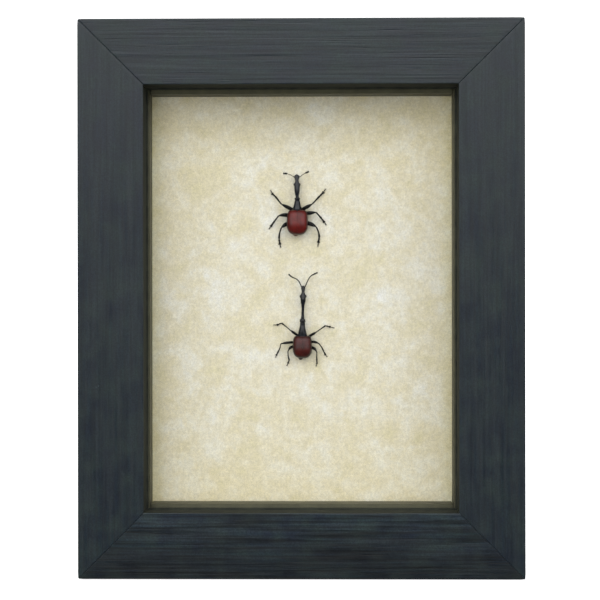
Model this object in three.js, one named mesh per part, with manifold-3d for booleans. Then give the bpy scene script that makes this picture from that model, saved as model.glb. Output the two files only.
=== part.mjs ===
// A framed pair of giraffe weevils, male below and female above, on a parchment-covered board in a
// glazed shadow-box frame. Millimetres, +Z up, the frame stands on its bottom rail with its front
// towards -Y, and the origin is at the middle of the bottom.
import * as THREE from "three";
import { mergeVertices } from "three/addons/utils/BufferGeometryUtils.js";
import Module from "manifold-3d";

const wasm = await Module();
wasm.setup();

// Driving dimensions of the frame
const FRAME_WIDTH = 146;
const FRAME_HEIGHT = 183;
const FRAME_DEPTH = 28;
const FACE_WIDTH = 21.6;
const LIP_DEPTH = 11;
const LEDGE = { depth: 9, width: 0.4 };
const RABBET_WIDTH = 6;
const EDGE_ROUND = { outer: 0.6, inner: 0.3 };
const GAP = 0.3;
const MITRE_GAP = 0.15;
const FINENESS = 0.004;

// What the frame holds, from the glass back to the dust cover
const GLASS_THICKNESS = 2;
const SPACER_DEPTH = 7.3;
const SPACER_INSET = { side: 0.75, bottom: 1.4, top: 1.55 };
const BOARD_THICKNESS = 2;
const COVER_THICKNESS = 2.5;
const POINT = { length: 11, width: 6, thickness: 0.6 };
const HANGER = { width: 44, height: 8.5, thickness: 0.9, teeth: 13, toothDepth: 2, nailRadius: 1.5 };

// Where things lie in depth, with the hanger's thickness counted so that the origin is mid-depth
const HANGER_PROUD = GAP + HANGER.thickness * 2;
const FRONT_Y = -(FRAME_DEPTH + HANGER_PROUD) / 2;
const GLASS_Y = FRONT_Y + LIP_DEPTH + GAP;
const SPACER_Y = GLASS_Y + GLASS_THICKNESS + GAP;
const PAPER_Y = SPACER_Y + SPACER_DEPTH + GAP;
const COVER_Y = PAPER_Y + BOARD_THICKNESS + GAP;
const POINT_Y = COVER_Y + COVER_THICKNESS + GAP;
const BACK_Y = FRONT_Y + FRAME_DEPTH;
const MIDDLE_Z = FRAME_HEIGHT / 2;

// Half sizes of the opening in front of the glass and of the rabbet behind the lip
const OPENING = { x: FRAME_WIDTH / 2 - FACE_WIDTH, z: FRAME_HEIGHT / 2 - FACE_WIDTH };
const RABBET = { x: OPENING.x + RABBET_WIDTH, z: OPENING.z + RABBET_WIDTH };

// Finishes
const finish = (color, roughness, metalness = 0) =>
  new THREE.MeshStandardMaterial({ color, roughness, metalness });
const PAINTED_WOOD = finish(0x3c4247, 0.55);
const GLASS = finish(0xf2f7f5, 0.03);
GLASS.transparent = true;
GLASS.opacity = 0.12;
const SPACER_BLACK = finish(0x34342c, 0.5);
const PARCHMENT = finish(0xdcd6bc, 0.9);
const COVER_CARD = finish(0x8a7452, 0.9);
const STEEL = finish(0x9a9a96, 0.35, 1);
const BLACK_CUTICLE = finish(0x14161a, 0.25);
const RED_ELYTRA = finish(0x7c1614, 0.28);
const EYE_BLACK = finish(0x080808, 0.12);
const DARK_RED = finish(0x3a0d0b, 0.35);

// Shared solid tools

// A closed three.js geometry as a manifold solid.
function solid(geometry) {
  const bare = geometry.clone();
  bare.deleteAttribute("normal");
  bare.deleteAttribute("uv");
  const merged = mergeVertices(bare, 1e-4);
  const index = merged.index.array;
  const kept = [];
  for (let i = 0; i < index.length; i += 3) {
    const [a, b, c] = [index[i], index[i + 1], index[i + 2]];
    if (a !== b && b !== c && c !== a) kept.push(a, b, c);
  }
  return new wasm.Manifold(
    new wasm.Mesh({
      numProp: 3,
      vertProperties: merged.attributes.position.array,
      triVerts: new Uint32Array(kept),
    }),
  );
}

// The largest closed surface of a solid, as a named mesh.
function mesh(name, made, material) {
  const pieces = made.asOriginal().simplify(FINENESS).decompose().sort((a, b) => b.volume() - a.volume());
  const data = pieces[0].getMesh();
  const geometry = new THREE.BufferGeometry();
  geometry.setAttribute("position", new THREE.BufferAttribute(new Float32Array(data.vertProperties), 3));
  geometry.setIndex(new THREE.BufferAttribute(new Uint32Array(data.triVerts), 1));
  geometry.computeVertexNormals();
  const made3d = new THREE.Mesh(geometry, material);
  made3d.name = name;
  return made3d;
}

const union = (solids) => solids.reduce((a, b) => a.add(b));
const box = (size, centre) => solid(new THREE.BoxGeometry(...size).translate(...centre));

// Frame

// The rail's section: u runs inwards from the outer edge, v runs back from the front face.
function railSection() {
  const { outer, inner } = EDGE_ROUND;
  const rabbet = FACE_WIDTH - RABBET_WIDTH;
  const section = new THREE.Shape();
  section.moveTo(outer, 0);
  section.absarc(FACE_WIDTH - inner, inner, inner, -Math.PI / 2, 0, false);
  section.lineTo(FACE_WIDTH, LEDGE.depth);
  section.lineTo(FACE_WIDTH + LEDGE.width, LEDGE.depth);
  section.lineTo(FACE_WIDTH + LEDGE.width, LIP_DEPTH);
  section.lineTo(rabbet, LIP_DEPTH);
  section.lineTo(rabbet, FRAME_DEPTH);
  section.lineTo(0, FRAME_DEPTH);
  section.lineTo(0, outer);
  section.absarc(outer, outer, outer, Math.PI, Math.PI * 1.5, false);
  return section;
}

// One rail of the given outer length, its ends mitred at 45 degrees. Before it is turned it is the
// bottom rail: u is +Z, v is +Y and its length runs along X.
function rail(name, length, turn) {
  const sweep = { depth: length, bevelEnabled: false, curveSegments: 4 };
  const made = new THREE.ExtrudeGeometry(railSection(), sweep);
  const at = made.attributes.position;
  for (let i = 0; i < at.count; i++) {
    const [u, v, s] = [at.getX(i), at.getY(i), at.getZ(i)];
    const end = length / 2 - u - MITRE_GAP;
    at.setXYZ(i, s < length / 2 ? end : -end, v + FRONT_Y, u);
  }
  const placed = mesh(name, solid(made), PAINTED_WOOD);
  const frameTurn = new THREE.Group();
  frameTurn.position.z = MIDDLE_Z;
  frameTurn.rotation.y = turn;
  placed.position.z = turn % Math.PI === 0 ? -FRAME_HEIGHT / 2 : -FRAME_WIDTH / 2;
  frameTurn.add(placed);
  return frameTurn;
}

function frameRails() {
  return [
    rail("rail_bottom", FRAME_WIDTH, 0),
    rail("rail_top", FRAME_WIDTH, Math.PI),
    rail("rail_left", FRAME_HEIGHT, Math.PI / 2),
    rail("rail_right", FRAME_HEIGHT, -Math.PI / 2),
  ];
}

// A flat sheet that fills the rabbet, with the gap round its edge.
function rabbetSheet(name, frontY, thickness, material) {
  const size = [2 * (RABBET.x - GAP), thickness, 2 * (RABBET.z - GAP)];
  return mesh(name, box(size, [0, frontY + thickness / 2, MIDDLE_Z]), material);
}

// Strips between the glass and the board: the side ones run the full height.
function spacers() {
  const y = SPACER_Y + SPACER_DEPTH / 2;
  const side = { in: OPENING.x - SPACER_INSET.side, out: RABBET.x - GAP };
  const end = RABBET.z - GAP;
  const made = [];
  for (const [word, way] of [["left", -1], ["right", 1]]) {
    const size = [side.out - side.in, SPACER_DEPTH, 2 * end];
    const x = (way * (side.out + side.in)) / 2;
    made.push(mesh(`spacer_${word}`, box(size, [x, y, MIDDLE_Z]), SPACER_BLACK));
  }
  for (const [word, way] of [["bottom", -1], ["top", 1]]) {
    const inner = OPENING.z - SPACER_INSET[word];
    const size = [2 * (side.in - GAP), SPACER_DEPTH, end - inner];
    const z = MIDDLE_Z + (way * (end + inner)) / 2;
    made.push(mesh(`spacer_${word}`, box(size, [0, y, z]), SPACER_BLACK));
  }
  return made;
}

// Steel points that hold the dust cover in the rabbet, two to each side and one at each end.
function framePoints() {
  const outline = new THREE.Shape();
  const half = POINT.width / 2;
  outline.moveTo(-half, 0);
  outline.lineTo(half, 0);
  outline.lineTo(half, POINT.length - half);
  outline.lineTo(0, POINT.length);
  outline.lineTo(-half, POINT.length - half);
  const blade = new THREE.ExtrudeGeometry(outline, { depth: POINT.thickness, bevelEnabled: false })
    .rotateX(-Math.PI / 2)
    .translate(0, 0, -GAP);
  const third = RABBET.z / 2;
  const places = [
    ["left_low", -RABBET.x, -third, -Math.PI / 2],
    ["left_high", -RABBET.x, third, -Math.PI / 2],
    ["right_low", RABBET.x, -third, Math.PI / 2],
    ["right_high", RABBET.x, third, Math.PI / 2],
    ["bottom", 0, -RABBET.z, Math.PI],
    ["top", 0, RABBET.z, 0],
  ];
  return places.map(([word, x, z, turn]) => {
    const placed = mesh(`frame_point_${word}`, solid(blade), STEEL);
    placed.rotation.y = turn;
    placed.position.set(x, POINT_Y, MIDDLE_Z + z);
    return placed;
  });
}

// A sawtooth hanger nailed to the back of the top rail.
function hanger() {
  const { width, height, teeth, toothDepth, thickness, nailRadius } = HANGER;
  const toothSpan = width * 0.6;
  const pitch = toothSpan / teeth;
  const plate = new THREE.Shape();
  plate.moveTo(-width / 2, 0);
  plate.lineTo(-toothSpan / 2, 0);
  for (let i = 0; i < teeth; i++) {
    const x = -toothSpan / 2 + i * pitch;
    plate.lineTo(x + pitch / 2, toothDepth);
    plate.lineTo(x + pitch, 0);
  }
  plate.lineTo(width / 2, 0);
  plate.lineTo(width / 2, height * 0.75);
  plate.lineTo(width / 4, height);
  plate.lineTo(-width / 4, height);
  plate.lineTo(-width / 2, height * 0.75);
  const flat = solid(new THREE.ExtrudeGeometry(plate, { depth: thickness, bevelEnabled: false }));
  const nails = [-1, 1].map((way) =>
    solid(
      new THREE.CylinderGeometry(nailRadius * 0.6, nailRadius, thickness * 2, 12)
        .rotateX(Math.PI / 2)
        .translate(way * (width / 2 - nailRadius * 1.8), height * 0.35, thickness),
    ),
  );
  const placed = mesh("hanger", union([flat, ...nails]), STEEL);
  placed.rotation.set(Math.PI / 2, Math.PI, 0);
  const railMiddle = FRAME_HEIGHT - (FACE_WIDTH - RABBET_WIDTH) / 2;
  placed.position.set(0, BACK_Y + GAP, railMiddle - height / 2);
  return placed;
}

// Weevils: each is modelled lying on the paper, x to its right as seen, y towards its head and z off
// the paper, with its origin on the paper below the joint of prothorax and elytra.

// A smooth run of values through rows of [place, value, value].
function smooth(rows) {
  const places = rows.map((row) => row[0]);
  const values = rows.flatMap((row) => row.slice(1));
  const run = new THREE.CubicInterpolant(places, values, rows[0].length - 1);
  return (t) => Array.from(run.evaluate(t));
}

const curve = (points) =>
  new THREE.CatmullRomCurve3(points.map((p) => new THREE.Vector3(...p)), false, "centripetal");

// A closed tube along a smooth line: rows of widths hold [share of length, width, height].
function limb(points, widths, { sides = 8, steps = 10, grow = 0 } = {}) {
  const path = curve(points);
  const size = smooth(widths);
  const profile = [new THREE.Vector2(0, 0)];
  for (let i = 0; i <= steps; i++) profile.push(new THREE.Vector2(1, i / steps));
  profile.push(new THREE.Vector2(0, 1));
  const made = new THREE.LatheGeometry(profile, sides);
  const at = made.attributes.position;
  const off = new THREE.Vector3(0, 0, 1);
  for (let i = 0; i < at.count; i++) {
    const t = THREE.MathUtils.clamp(at.getY(i), 0, 1);
    const along = path.getTangentAt(t);
    const across = new THREE.Vector3().crossVectors(along, off).normalize();
    const up = new THREE.Vector3().crossVectors(across, along);
    const [width, height] = size(t);
    const place = path.getPointAt(t);
    place.addScaledVector(across, at.getX(i) * (width / 2 + grow));
    place.addScaledVector(up, at.getZ(i) * (height / 2 + grow));
    if (grow) place.addScaledVector(along, (t < 0.5 ? -grow : grow) * (t === 0 || t === 1 ? 1 : 0));
    at.setXYZ(i, place.x, place.y, place.z);
  }
  return solid(made);
}

// An ellipsoid with its poles up and down.
function ellipsoid(centre, half, sides) {
  const made = new THREE.SphereGeometry(1, ...sides).rotateX(Math.PI / 2);
  return solid(made.scale(...half).translate(...centre));
}

// Heights off the paper of each leg's root, thigh, knee, shin, ankle, lobed joint and claws
const LEG_HEIGHTS = {
  front: [1.35, 2.35, 2.9, 2.1, 1.0, 0.55, 0.35],
  middle: [0.95, 2.15, 2.9, 2.05, 0.9, 0.5, 0.35],
  hind: [0.95, 2.15, 2.9, 2.05, 0.9, 0.5, 0.35],
};

// Body sizes of both sexes. Rows of widths hold [share of length, width, height] and run towards the
// head; legs hold the x and y of root, thigh, knee, shin, ankle, lobed joint and claws.
const MALE = {
  name: "male",
  place: [0.2, 78.83],
  elytra: { width: 6.0, length: 7.2, back: 0, rise: 2.35, thick: 0.55, front: 5.5 },
  bodyHeight: 2.45,
  pygidium: { x: -0.6, reach: 8.0, width: 1.9 },
  prothorax: {
    path: [[0, -0.3, 2.5], [0, 2, 2.75], [0.05, 4, 2.7], [0.1, 6, 2.6]],
    widths: [
      [0, 3.35, 2.7], [0.05, 3.42, 2.85], [0.12, 3.2, 2.75], [0.2, 2.92, 2.6], [0.31, 2.52, 2.35],
      [0.42, 2.22, 2.1], [0.52, 1.96, 1.9], [0.63, 1.74, 1.7], [0.74, 1.7, 1.65], [0.85, 1.96, 1.85],
      [0.95, 1.75, 1.65], [1, 1.3, 1.25],
    ],
  },
  neck: {
    path: [[0.1, 5.85, 2.6], [0.15, 8.2, 2.55], [0.2, 10.75, 2.45]],
    widths: [[0, 1.1, 1.05], [0.1, 1.15, 1.1], [0.28, 0.98, 0.95], [0.7, 0.92, 0.9], [1, 1.15, 1.05]],
  },
  head: {
    path: [[0.2, 10.6, 2.5], [0.25, 13.6, 2.3], [0.28, 15.3, 2.1], [0.3, 16.9, 1.9]],
    widths: [
      [0, 1.2, 1.15], [0.14, 1.55, 1.6], [0.28, 1.78, 1.7], [0.42, 1.88, 1.5], [0.5, 1.78, 1.35],
      [0.58, 1.35, 1.15], [0.68, 0.98, 1.0], [0.8, 1.2, 1.0], [0.9, 1.45, 0.95], [0.96, 1.3, 0.8],
      [1, 0.85, 0.5],
    ],
  },
  eye: { along: 0.45, radius: 0.52, out: 0.76 },
  antennae: {
    left: [[-0.1, 16.3, 2.4], [-1.5, 18.9, 2.9], [-3.7, 20.1, 3.0], [-4.65, 20.95, 2.9]],
    right: [[0.75, 16.3, 2.4], [1.9, 18.8, 2.9], [2.8, 20.2, 3.0], [5.2, 21.45, 2.9]],
  },
  clubShare: 0.3,
  legs: {
    front_left: [
      [-0.9, -0.27], [-2.7, 1.05], [-4.15, 2.13], [-5.6, 3.3],
      [-7.05, 4.42], [-8.55, 3.75], [-10, 3.85],
    ],
    front_right: [
      [1, -0.7], [3.1, 0.45], [4.98, 1.57], [6.35, 2.55],
      [7.74, 3.52], [9.4, 3.1], [10.95, 2.68],
    ],
    middle_left: [
      [-1.5, -2], [-5.2, -2.2], [-7.25, -2.5], [-7.62, -4],
      [-8.45, -5.7], [-8.88, -6.5], [-9.13, -7.4],
    ],
    middle_right: [
      [1.5, -1.8], [4, -1.95], [5.55, -2.4], [6.4, -3.6],
      [7.15, -5.1], [7.75, -6.35], [8.4, -7.1],
    ],
    hind_left: [
      [-1.5, -3.3], [-3.9, -3.75], [-4.85, -4.9], [-4.83, -6.55],
      [-4.48, -8.15], [-4.9, -9.15], [-5.38, -10.2],
    ],
    hind_right: [
      [1.5, -3.4], [3.95, -4.1], [4.85, -5.25], [4.83, -6.6],
      [4.85, -8.25], [4.88, -9.25], [4.5, -10.35],
    ],
  },
  femurWidth: { front: 0.82, middle: 0.84, hind: 0.84 },
  swelling: [[0, 0.7], [0.15, 0.76], [0.38, 0.98], [0.62, 1.08], [0.78, 0.92]],
  tibiaWidth: 0.5,
};

const FEMALE = {
  name: "female",
  place: [-1.45, 121.46],
  elytra: { width: 6.7, length: 8.1, back: 0.25, rise: 2.55, thick: 0.55, front: 5.2 },
  bodyHeight: 2.6,
  pygidium: { x: -0.6, reach: 8.9, width: 2.3 },
  prothorax: {
    path: [[0, -0.3, 2.6], [0, 2, 2.75], [0, 4.1, 2.6]],
    widths: [
      [0, 3.4, 3.1], [0.06, 3.45, 3.15], [0.15, 3.15, 2.9], [0.27, 2.76, 2.5], [0.42, 2.32, 2.2],
      [0.55, 2.06, 2.0], [0.66, 1.86, 1.85], [0.76, 1.72, 1.7], [0.84, 1.8, 1.75], [0.92, 1.9, 1.8],
      [0.97, 1.72, 1.65], [1, 1.3, 1.25],
    ],
  },
  neck: {
    path: [[0, 3.9, 2.6], [-0.05, 4.95, 2.55]],
    widths: [[0, 1.1, 1.05], [0.5, 1.08, 1.0], [1, 1.15, 1.05]],
  },
  head: {
    path: [[-0.05, 4.6, 2.55], [-0.1, 8.4, 2.4], [-0.15, 10, 2.2], [-0.2, 11.85, 1.95]],
    widths: [
      [0, 1.12, 1.1], [0.08, 1.4, 1.5], [0.17, 1.66, 1.75], [0.27, 1.82, 1.75], [0.4, 1.9, 1.6],
      [0.5, 1.86, 1.45], [0.58, 1.66, 1.3], [0.65, 1.32, 1.15], [0.72, 1.18, 1.05], [0.83, 1.58, 1.05],
      [0.9, 2.0, 1.0], [0.96, 1.5, 0.85], [1, 0.85, 0.5],
    ],
  },
  eye: { along: 0.535, radius: 0.54, out: 0.74 },
  antennae: {
    left: [[-0.7, 10.8, 2.4], [-2.3, 11.7, 2.9], [-3.5, 12.1, 2.9], [-4.8, 12.2, 2.8]],
    right: [[0.5, 10.8, 2.4], [2.2, 12.0, 2.9], [2.95, 12.4, 2.9], [3.95, 12.85, 2.8]],
  },
  clubShare: 0.33,
  legs: {
    front_left: [
      [-1, -0.2], [-3.55, 0.98], [-5.35, 1.85], [-6.4, 3.2],
      [-7.35, 4.5], [-8.6, 5.6], [-9.18, 6.95],
    ],
    front_right: [[1, -0.2], [3.65, 1.15], [5.05, 1.9], [6.15, 3.1], [7.45, 4.6], [8.9, 6.05], [9.6, 7.35]],
    middle_left: [
      [-1.6, -1.9], [-4.7, -1.75], [-6.3, -2.05], [-7.35, -3.35],
      [-8.2, -4.4], [-9, -5.5], [-9.8, -6.65],
    ],
    middle_right: [
      [1.6, -1.2], [4.6, -1.05], [6.3, -0.9], [7.2, -1.85],
      [8.1, -2.85], [9.05, -4.15], [9.92, -5.3],
    ],
    hind_left: [
      [-1.6, -3.9], [-4.2, -5.1], [-5.4, -6.1], [-6, -7.9],
      [-6.25, -9.6], [-5.93, -11.6], [-5.68, -12.9],
    ],
    hind_right: [
      [1.6, -3.9], [4.85, -4.95], [6.35, -5.8], [7.1, -7.5],
      [7.36, -9.2], [7.05, -11], [6.85, -12.55],
    ],
  },
  femurWidth: { front: 1.18, middle: 1.2, hind: 1.34 },
  swelling: [[0, 0.75], [0.15, 0.88], [0.38, 1.06], [0.6, 1.02], [0.78, 0.78]],
  tibiaWidth: 0.56,
};

// How square the hind body is: in plan behind its middle, along its crest and across its arch; the
// shoulders' own squareness is each sex's elytra.front
const HIND_FORM = {
  rear: 2.6,
  crestFront: 4.2,
  crestRear: 2.2,
  arch: 3.0,
  shoulderTaper: 0.04,
  rearHeavy: 0.22,
};

// The tail plate's half length, its drop below the elytra's rim line and its half height
const TAIL = { half: 1.3, drop: 0.85, rise: 1.1, sides: [16, 10] };

// The small shield between the bases of the wing cases: its half sizes and place
const SHIELD = { half: [0.42, 0.5, 0.45], y: -0.5, riseShare: 0.6, sides: [14, 8] };

// How the eye differs from a ball of its radius, and how far it stands above the head's middle
const EYE = { shape: [0.8, 1.05, 0.95], rise: 0.1, sides: [12, 8] };

// How far the wing cases' rim lies below the body's widest line
const RIM_DROP = 0.55;

// The least width of a limb, and of feelers
const LEAST_WIDTH = 0.5;

// A feeler's joints before its club, and its widths at a joint's bulge and waist, the club and the tip
const FEELER = { joints: 8, bulge: 0.58, waist: 0.5, club: 0.78, tip: 0.3 };

const FINE = { limbSides: 8, antennaSteps: 30, bodySides: 14, hindSides: [28, 18], tarsusSteps: 3 };
const PLAIN = { limbSides: 6, antennaSteps: 16, bodySides: 12, hindSides: [22, 14], tarsusSteps: 3 };

const trunk = (form, steps, detail, grow = 0) =>
  limb(form.path, form.widths, { sides: detail.bodySides, steps, grow });

const prothorax = (w, detail, grow) => trunk(w.prothorax, 20, detail, grow);
const neck = (w, detail, grow) => trunk(w.neck, 8, detail, grow);
const head = (w, detail, grow) => trunk(w.head, 22, detail, grow);

// The whole hind body, squared at the shoulders and rounder behind; inset shrinks it under the wing
// cases. It is a sphere with its poles at head and tail, reshaped.
function hindBody(w, detail, inset = 0) {
  const { width, length, back, rise, front } = w.elytra;
  const { rear, crestFront, crestRear, arch, shoulderTaper, rearHeavy } = HIND_FORM;
  const squared = (value, power) => Math.max(0, 1 - Math.abs(value) ** power) ** (1 / power);
  const half = { x: width / 2 - inset, y: length / 2 - inset * 0.8 };
  const reach = { up: rise - inset, down: w.bodyHeight - GAP };
  const made = new THREE.SphereGeometry(1, ...detail.hindSides);
  const at = made.attributes.position;
  for (let i = 0; i < at.count; i++) {
    const along = at.getY(i);
    const round = Math.hypot(at.getX(i), at.getZ(i)) || 1;
    const across = at.getX(i) / round;
    const up = at.getZ(i) > 0;
    const plan = squared(along, along > 0 ? front : rear);
    const crest = squared(along, along > 0 ? crestFront : crestRear) * squared(across, arch);
    const height = crest * (up ? reach.up * (1 - rearHeavy * along) : -reach.down);
    const x = plan * across * half.x * (1 - shoulderTaper * along);
    at.setXYZ(i, x, along * half.y - length / 2 - back, w.bodyHeight + height);
  }
  return solid(made);
}

// The soft hind body under the wing cases, from the coxae back to the tail plate.
function innerBody(w, detail, grow = 0) {
  const under = hindBody(w, detail, w.elytra.thick + GAP - grow);
  const { x, reach, width } = w.pygidium;
  const centre = [x, TAIL.half - reach, w.bodyHeight - TAIL.drop];
  const half = [width / 2 + grow, TAIL.half + grow, TAIL.rise + grow];
  return under.add(ellipsoid(centre, half, TAIL.sides));
}

// The upper part of the hind body, down to the rim of the wing cases.
function overRim(w, detail, grow = 0) {
  const { width, length } = w.elytra;
  const rim = w.bodyHeight - RIM_DROP - grow;
  const below = box([width * 2, length * 2, length], [0, -length / 2, rim - length / 2]);
  return hindBody(w, detail, -grow).subtract(below);
}

// Both wing cases: a shell over the hind body, parted from it and open below.
const wingCases = (w, detail) => overRim(w, detail).subtract(innerBody(w, detail, GAP));

// The small shield between the bases of the wing cases.
function scutellum(w, grow = 0) {
  const { half, y, riseShare, sides } = SHIELD;
  const centre = [0, y, w.bodyHeight + w.elytra.rise * riseShare];
  return ellipsoid(centre, half.map((size) => size + grow), sides);
}

// Eyes bulge from the sides of the head.
function eye(w, way, grow = 0) {
  const at = curve(w.head.path).getPointAt(w.eye.along);
  const half = EYE.shape.map((share) => share * (w.eye.radius + grow));
  return ellipsoid([at.x + way * w.eye.out, at.y, at.z + EYE.rise], half, EYE.sides);
}

// Eleven joints: a long first one, seven small ones and a club of three.
function antenna(w, side, detail) {
  const { joints, bulge, waist, club, tip } = FEELER;
  const start = 1 - w.clubShare;
  const row = (share, size) => [share, size, Math.min(size, bulge)];
  const rows = [row(0, LEAST_WIDTH)];
  for (let i = 1; i <= joints; i++) {
    rows.push(row((start * (i - 0.3)) / joints, bulge), row((start * i) / joints, waist));
  }
  rows.push(row(start + w.clubShare * 0.3, club), row(start + w.clubShare * 0.75, club), row(1, tip));
  return limb(w.antennae[side], rows, { sides: 6, steps: detail.antennaSteps });
}

const between = (a, b, share) => a.map((value, i) => value + (b[i] - value) * share);

// A leg's places in space: root, thigh, knee, shin, ankle, lobed joint and claws.
function legPoints(w, name) {
  const heights = LEG_HEIGHTS[name.split("_")[0]];
  return w.legs[name].map(([x, y], i) => [x, y, heights[i]]);
}

// The thigh swells in its middle; the shin is slender and widens at the foot.
function femur(w, name, detail, grow = 0) {
  const path = legPoints(w, name).slice(0, 3);
  const thick = w.femurWidth[name.split("_")[0]];
  const widths = w.swelling.map(([share, size]) => [share, thick * size, thick * size]);
  widths.push([0.92, LEAST_WIDTH * 1.1, LEAST_WIDTH * 1.1], [1, LEAST_WIDTH, LEAST_WIDTH]);
  return limb(path, widths, { sides: detail.limbSides, steps: 10, grow });
}

function tibia(w, name, detail, grow = 0) {
  const path = legPoints(w, name).slice(2, 5);
  const thick = w.tibiaWidth;
  const widths = [
    [0, thick, thick], [0.5, thick, thick], [0.85, thick * 1.15, thick * 1.1],
    [0.97, thick * 1.35, thick * 1.2], [1, thick, thick],
  ];
  return limb(path, widths, { sides: detail.limbSides, steps: 8, grow });
}

// Two short joints, a joint of two lobes, then the claw joint with its pair of claws.
function tarsus(w, name, detail) {
  const [ankle, lobe, tip] = legPoints(w, name).slice(4);
  const shape = { sides: 5, steps: detail.tarsusSteps };
  const cone = [[0, 0.36, 0.36], [0.75, 0.56, 0.5], [1, 0.44, 0.4]];
  const pad = [[0, 0.34, 0.34], [0.7, 0.5, 0.4], [1, 0.3, 0.26]];
  const shaft = [[0, 0.32, 0.32], [0.8, 0.4, 0.36], [1, 0.34, 0.32]];
  const hook = [[0, 0.3, 0.3], [0.5, 0.26, 0.26], [1, 0.1, 0.1]];
  const first = between(ankle, lobe, 0.52);
  const second = between(ankle, lobe, 0.8);
  const joints = [
    limb([between(ankle, first, -0.02), first], cone, shape),
    limb([between(ankle, first, 0.88), second], cone, shape),
    limb([between(lobe, second, 0.5), between(lobe, tip, 0.72)], shaft, shape),
  ];
  const moved = (p, way, distance) => [p[0] + way[0] * distance, p[1] + way[1] * distance, p[2]];
  const ahead = (from, to) => new THREE.Vector2(to[0] - from[0], to[1] - from[1]).normalize().toArray();
  const out = ahead(ankle, lobe);
  const beyond = ahead(lobe, tip);
  for (const half of [-1, 1]) {
    const beside = [-out[1] * half, out[0] * half];
    const aside = [-beyond[1] * half, beyond[0] * half];
    const padRoot = moved(between(lobe, second, 0.9), beside, 0.08);
    const padEnd = moved(moved(lobe, beside, 0.24), out, 0.16);
    joints.push(limb([padRoot, padEnd], pad, shape));
    const bend = moved(between(lobe, tip, 0.86), aside, 0.2);
    joints.push(limb([between(lobe, tip, 0.62), bend, moved(tip, aside, 0.24)], hook, shape));
  }
  return union(joints);
}

const LEGS = ["front_left", "front_right", "middle_left", "middle_right", "hind_left", "hind_right"];
const SIDES = [["left", -1], ["right", 1]];

// Lays a weevil's meshes on the paper.
function onPaper(w, meshes) {
  const group = new THREE.Group();
  group.add(...meshes);
  group.rotation.x = Math.PI / 2;
  group.position.set(w.place[0], PAPER_Y, w.place[1]);
  return group;
}

// The side of the blocks that halve a body, larger than the body itself
const BLOCK = 30;

// The male, each named part its own solid, parted from what carries it by the gap.
function partedWeevil(w, detail) {
  const named = (part) => `${w.name}_${part}`;
  const grownChest = prothorax(w, detail, GAP);
  const grownNeck = neck(w, detail, GAP * 0.8);
  const hind = innerBody(w, detail);
  const split = -w.elytra.length / 2;
  const front = box([BLOCK, BLOCK, BLOCK], [0, split + (BLOCK + GAP) / 2, 0]);
  const rear = box([BLOCK, BLOCK, BLOCK], [0, split - (BLOCK + GAP) / 2, 0]);
  const cases = wingCases(w, detail).subtract(grownChest).subtract(scutellum(w, GAP));
  const grownHind = overRim(w, detail, GAP).add(innerBody(w, detail, GAP));
  const breast = hind.intersect(front).subtract(grownChest);
  const meshes = [
    mesh(named("prothorax"), prothorax(w, detail), BLACK_CUTICLE),
    mesh(named("neck"), neck(w, detail).subtract(grownChest), BLACK_CUTICLE),
    mesh(named("scutellum"), scutellum(w).subtract(grownChest), BLACK_CUTICLE),
    mesh(named("metathorax"), breast.subtract(scutellum(w, GAP)), BLACK_CUTICLE),
    mesh(named("abdomen"), hind.intersect(rear), DARK_RED),
  ];
  const grownEyes = union(SIDES.map(([, way]) => eye(w, way, GAP * 0.5)));
  const skull = head(w, detail).subtract(grownNeck).subtract(grownEyes);
  meshes.push(mesh(named("head"), skull, BLACK_CUTICLE));
  for (const [word, way] of SIDES) {
    const half = box([BLOCK, BLOCK, BLOCK], [(way * (BLOCK + GAP)) / 2, 0, 0]);
    meshes.push(mesh(named(`elytron_${word}`), cases.intersect(half), RED_ELYTRA));
    meshes.push(mesh(named(`eye_${word}`), eye(w, way), EYE_BLACK));
    const feeler = antenna(w, word, detail).subtract(head(w, detail, GAP * 0.8));
    meshes.push(mesh(named(`antenna_${word}`), feeler, BLACK_CUTICLE));
  }
  for (const leg of LEGS) {
    const thigh = femur(w, leg, detail);
    const shin = tibia(w, leg, detail);
    const clearOf = leg.startsWith("front") ? grownChest.add(grownHind) : grownHind;
    meshes.push(mesh(named(`femur_${leg}`), thigh.subtract(clearOf), BLACK_CUTICLE));
    meshes.push(mesh(named(`tibia_${leg}`), shin.subtract(femur(w, leg, detail, GAP)), BLACK_CUTICLE));
    const foot = tarsus(w, leg, detail).subtract(tibia(w, leg, detail, GAP * 0.8));
    meshes.push(mesh(named(`tarsus_${leg}`), foot, BLACK_CUTICLE));
  }
  return onPaper(w, meshes);
}

// The female, plainer, as one solid.
function wholeWeevil(w, detail) {
  const pieces = [prothorax, neck, head, hindBody, innerBody].map((part) => part(w, detail));
  for (const [word, way] of SIDES) pieces.push(eye(w, way), antenna(w, word, detail));
  for (const leg of LEGS) pieces.push(...[femur, tibia, tarsus].map((part) => part(w, leg, detail)));
  return onPaper(w, [mesh(`${w.name}_weevil`, union(pieces), BLACK_CUTICLE)]);
}

const group = new THREE.Group();
group.add(
  ...frameRails(),
  rabbetSheet("glass", GLASS_Y, GLASS_THICKNESS, GLASS),
  ...spacers(),
  rabbetSheet("mount_board", PAPER_Y, BOARD_THICKNESS, PARCHMENT),
  rabbetSheet("dust_cover", COVER_Y, COVER_THICKNESS, COVER_CARD),
  ...framePoints(),
  hanger(),
  partedWeevil(MALE, FINE),
  wholeWeevil(FEMALE, PLAIN),
);

export default group;
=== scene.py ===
# Framed giraffe weevils: the looks of the glazed frame and of the two weevils inside it.
import math

import bmesh
import bpy
import numpy as np
from mathutils import Matrix, Vector


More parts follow.
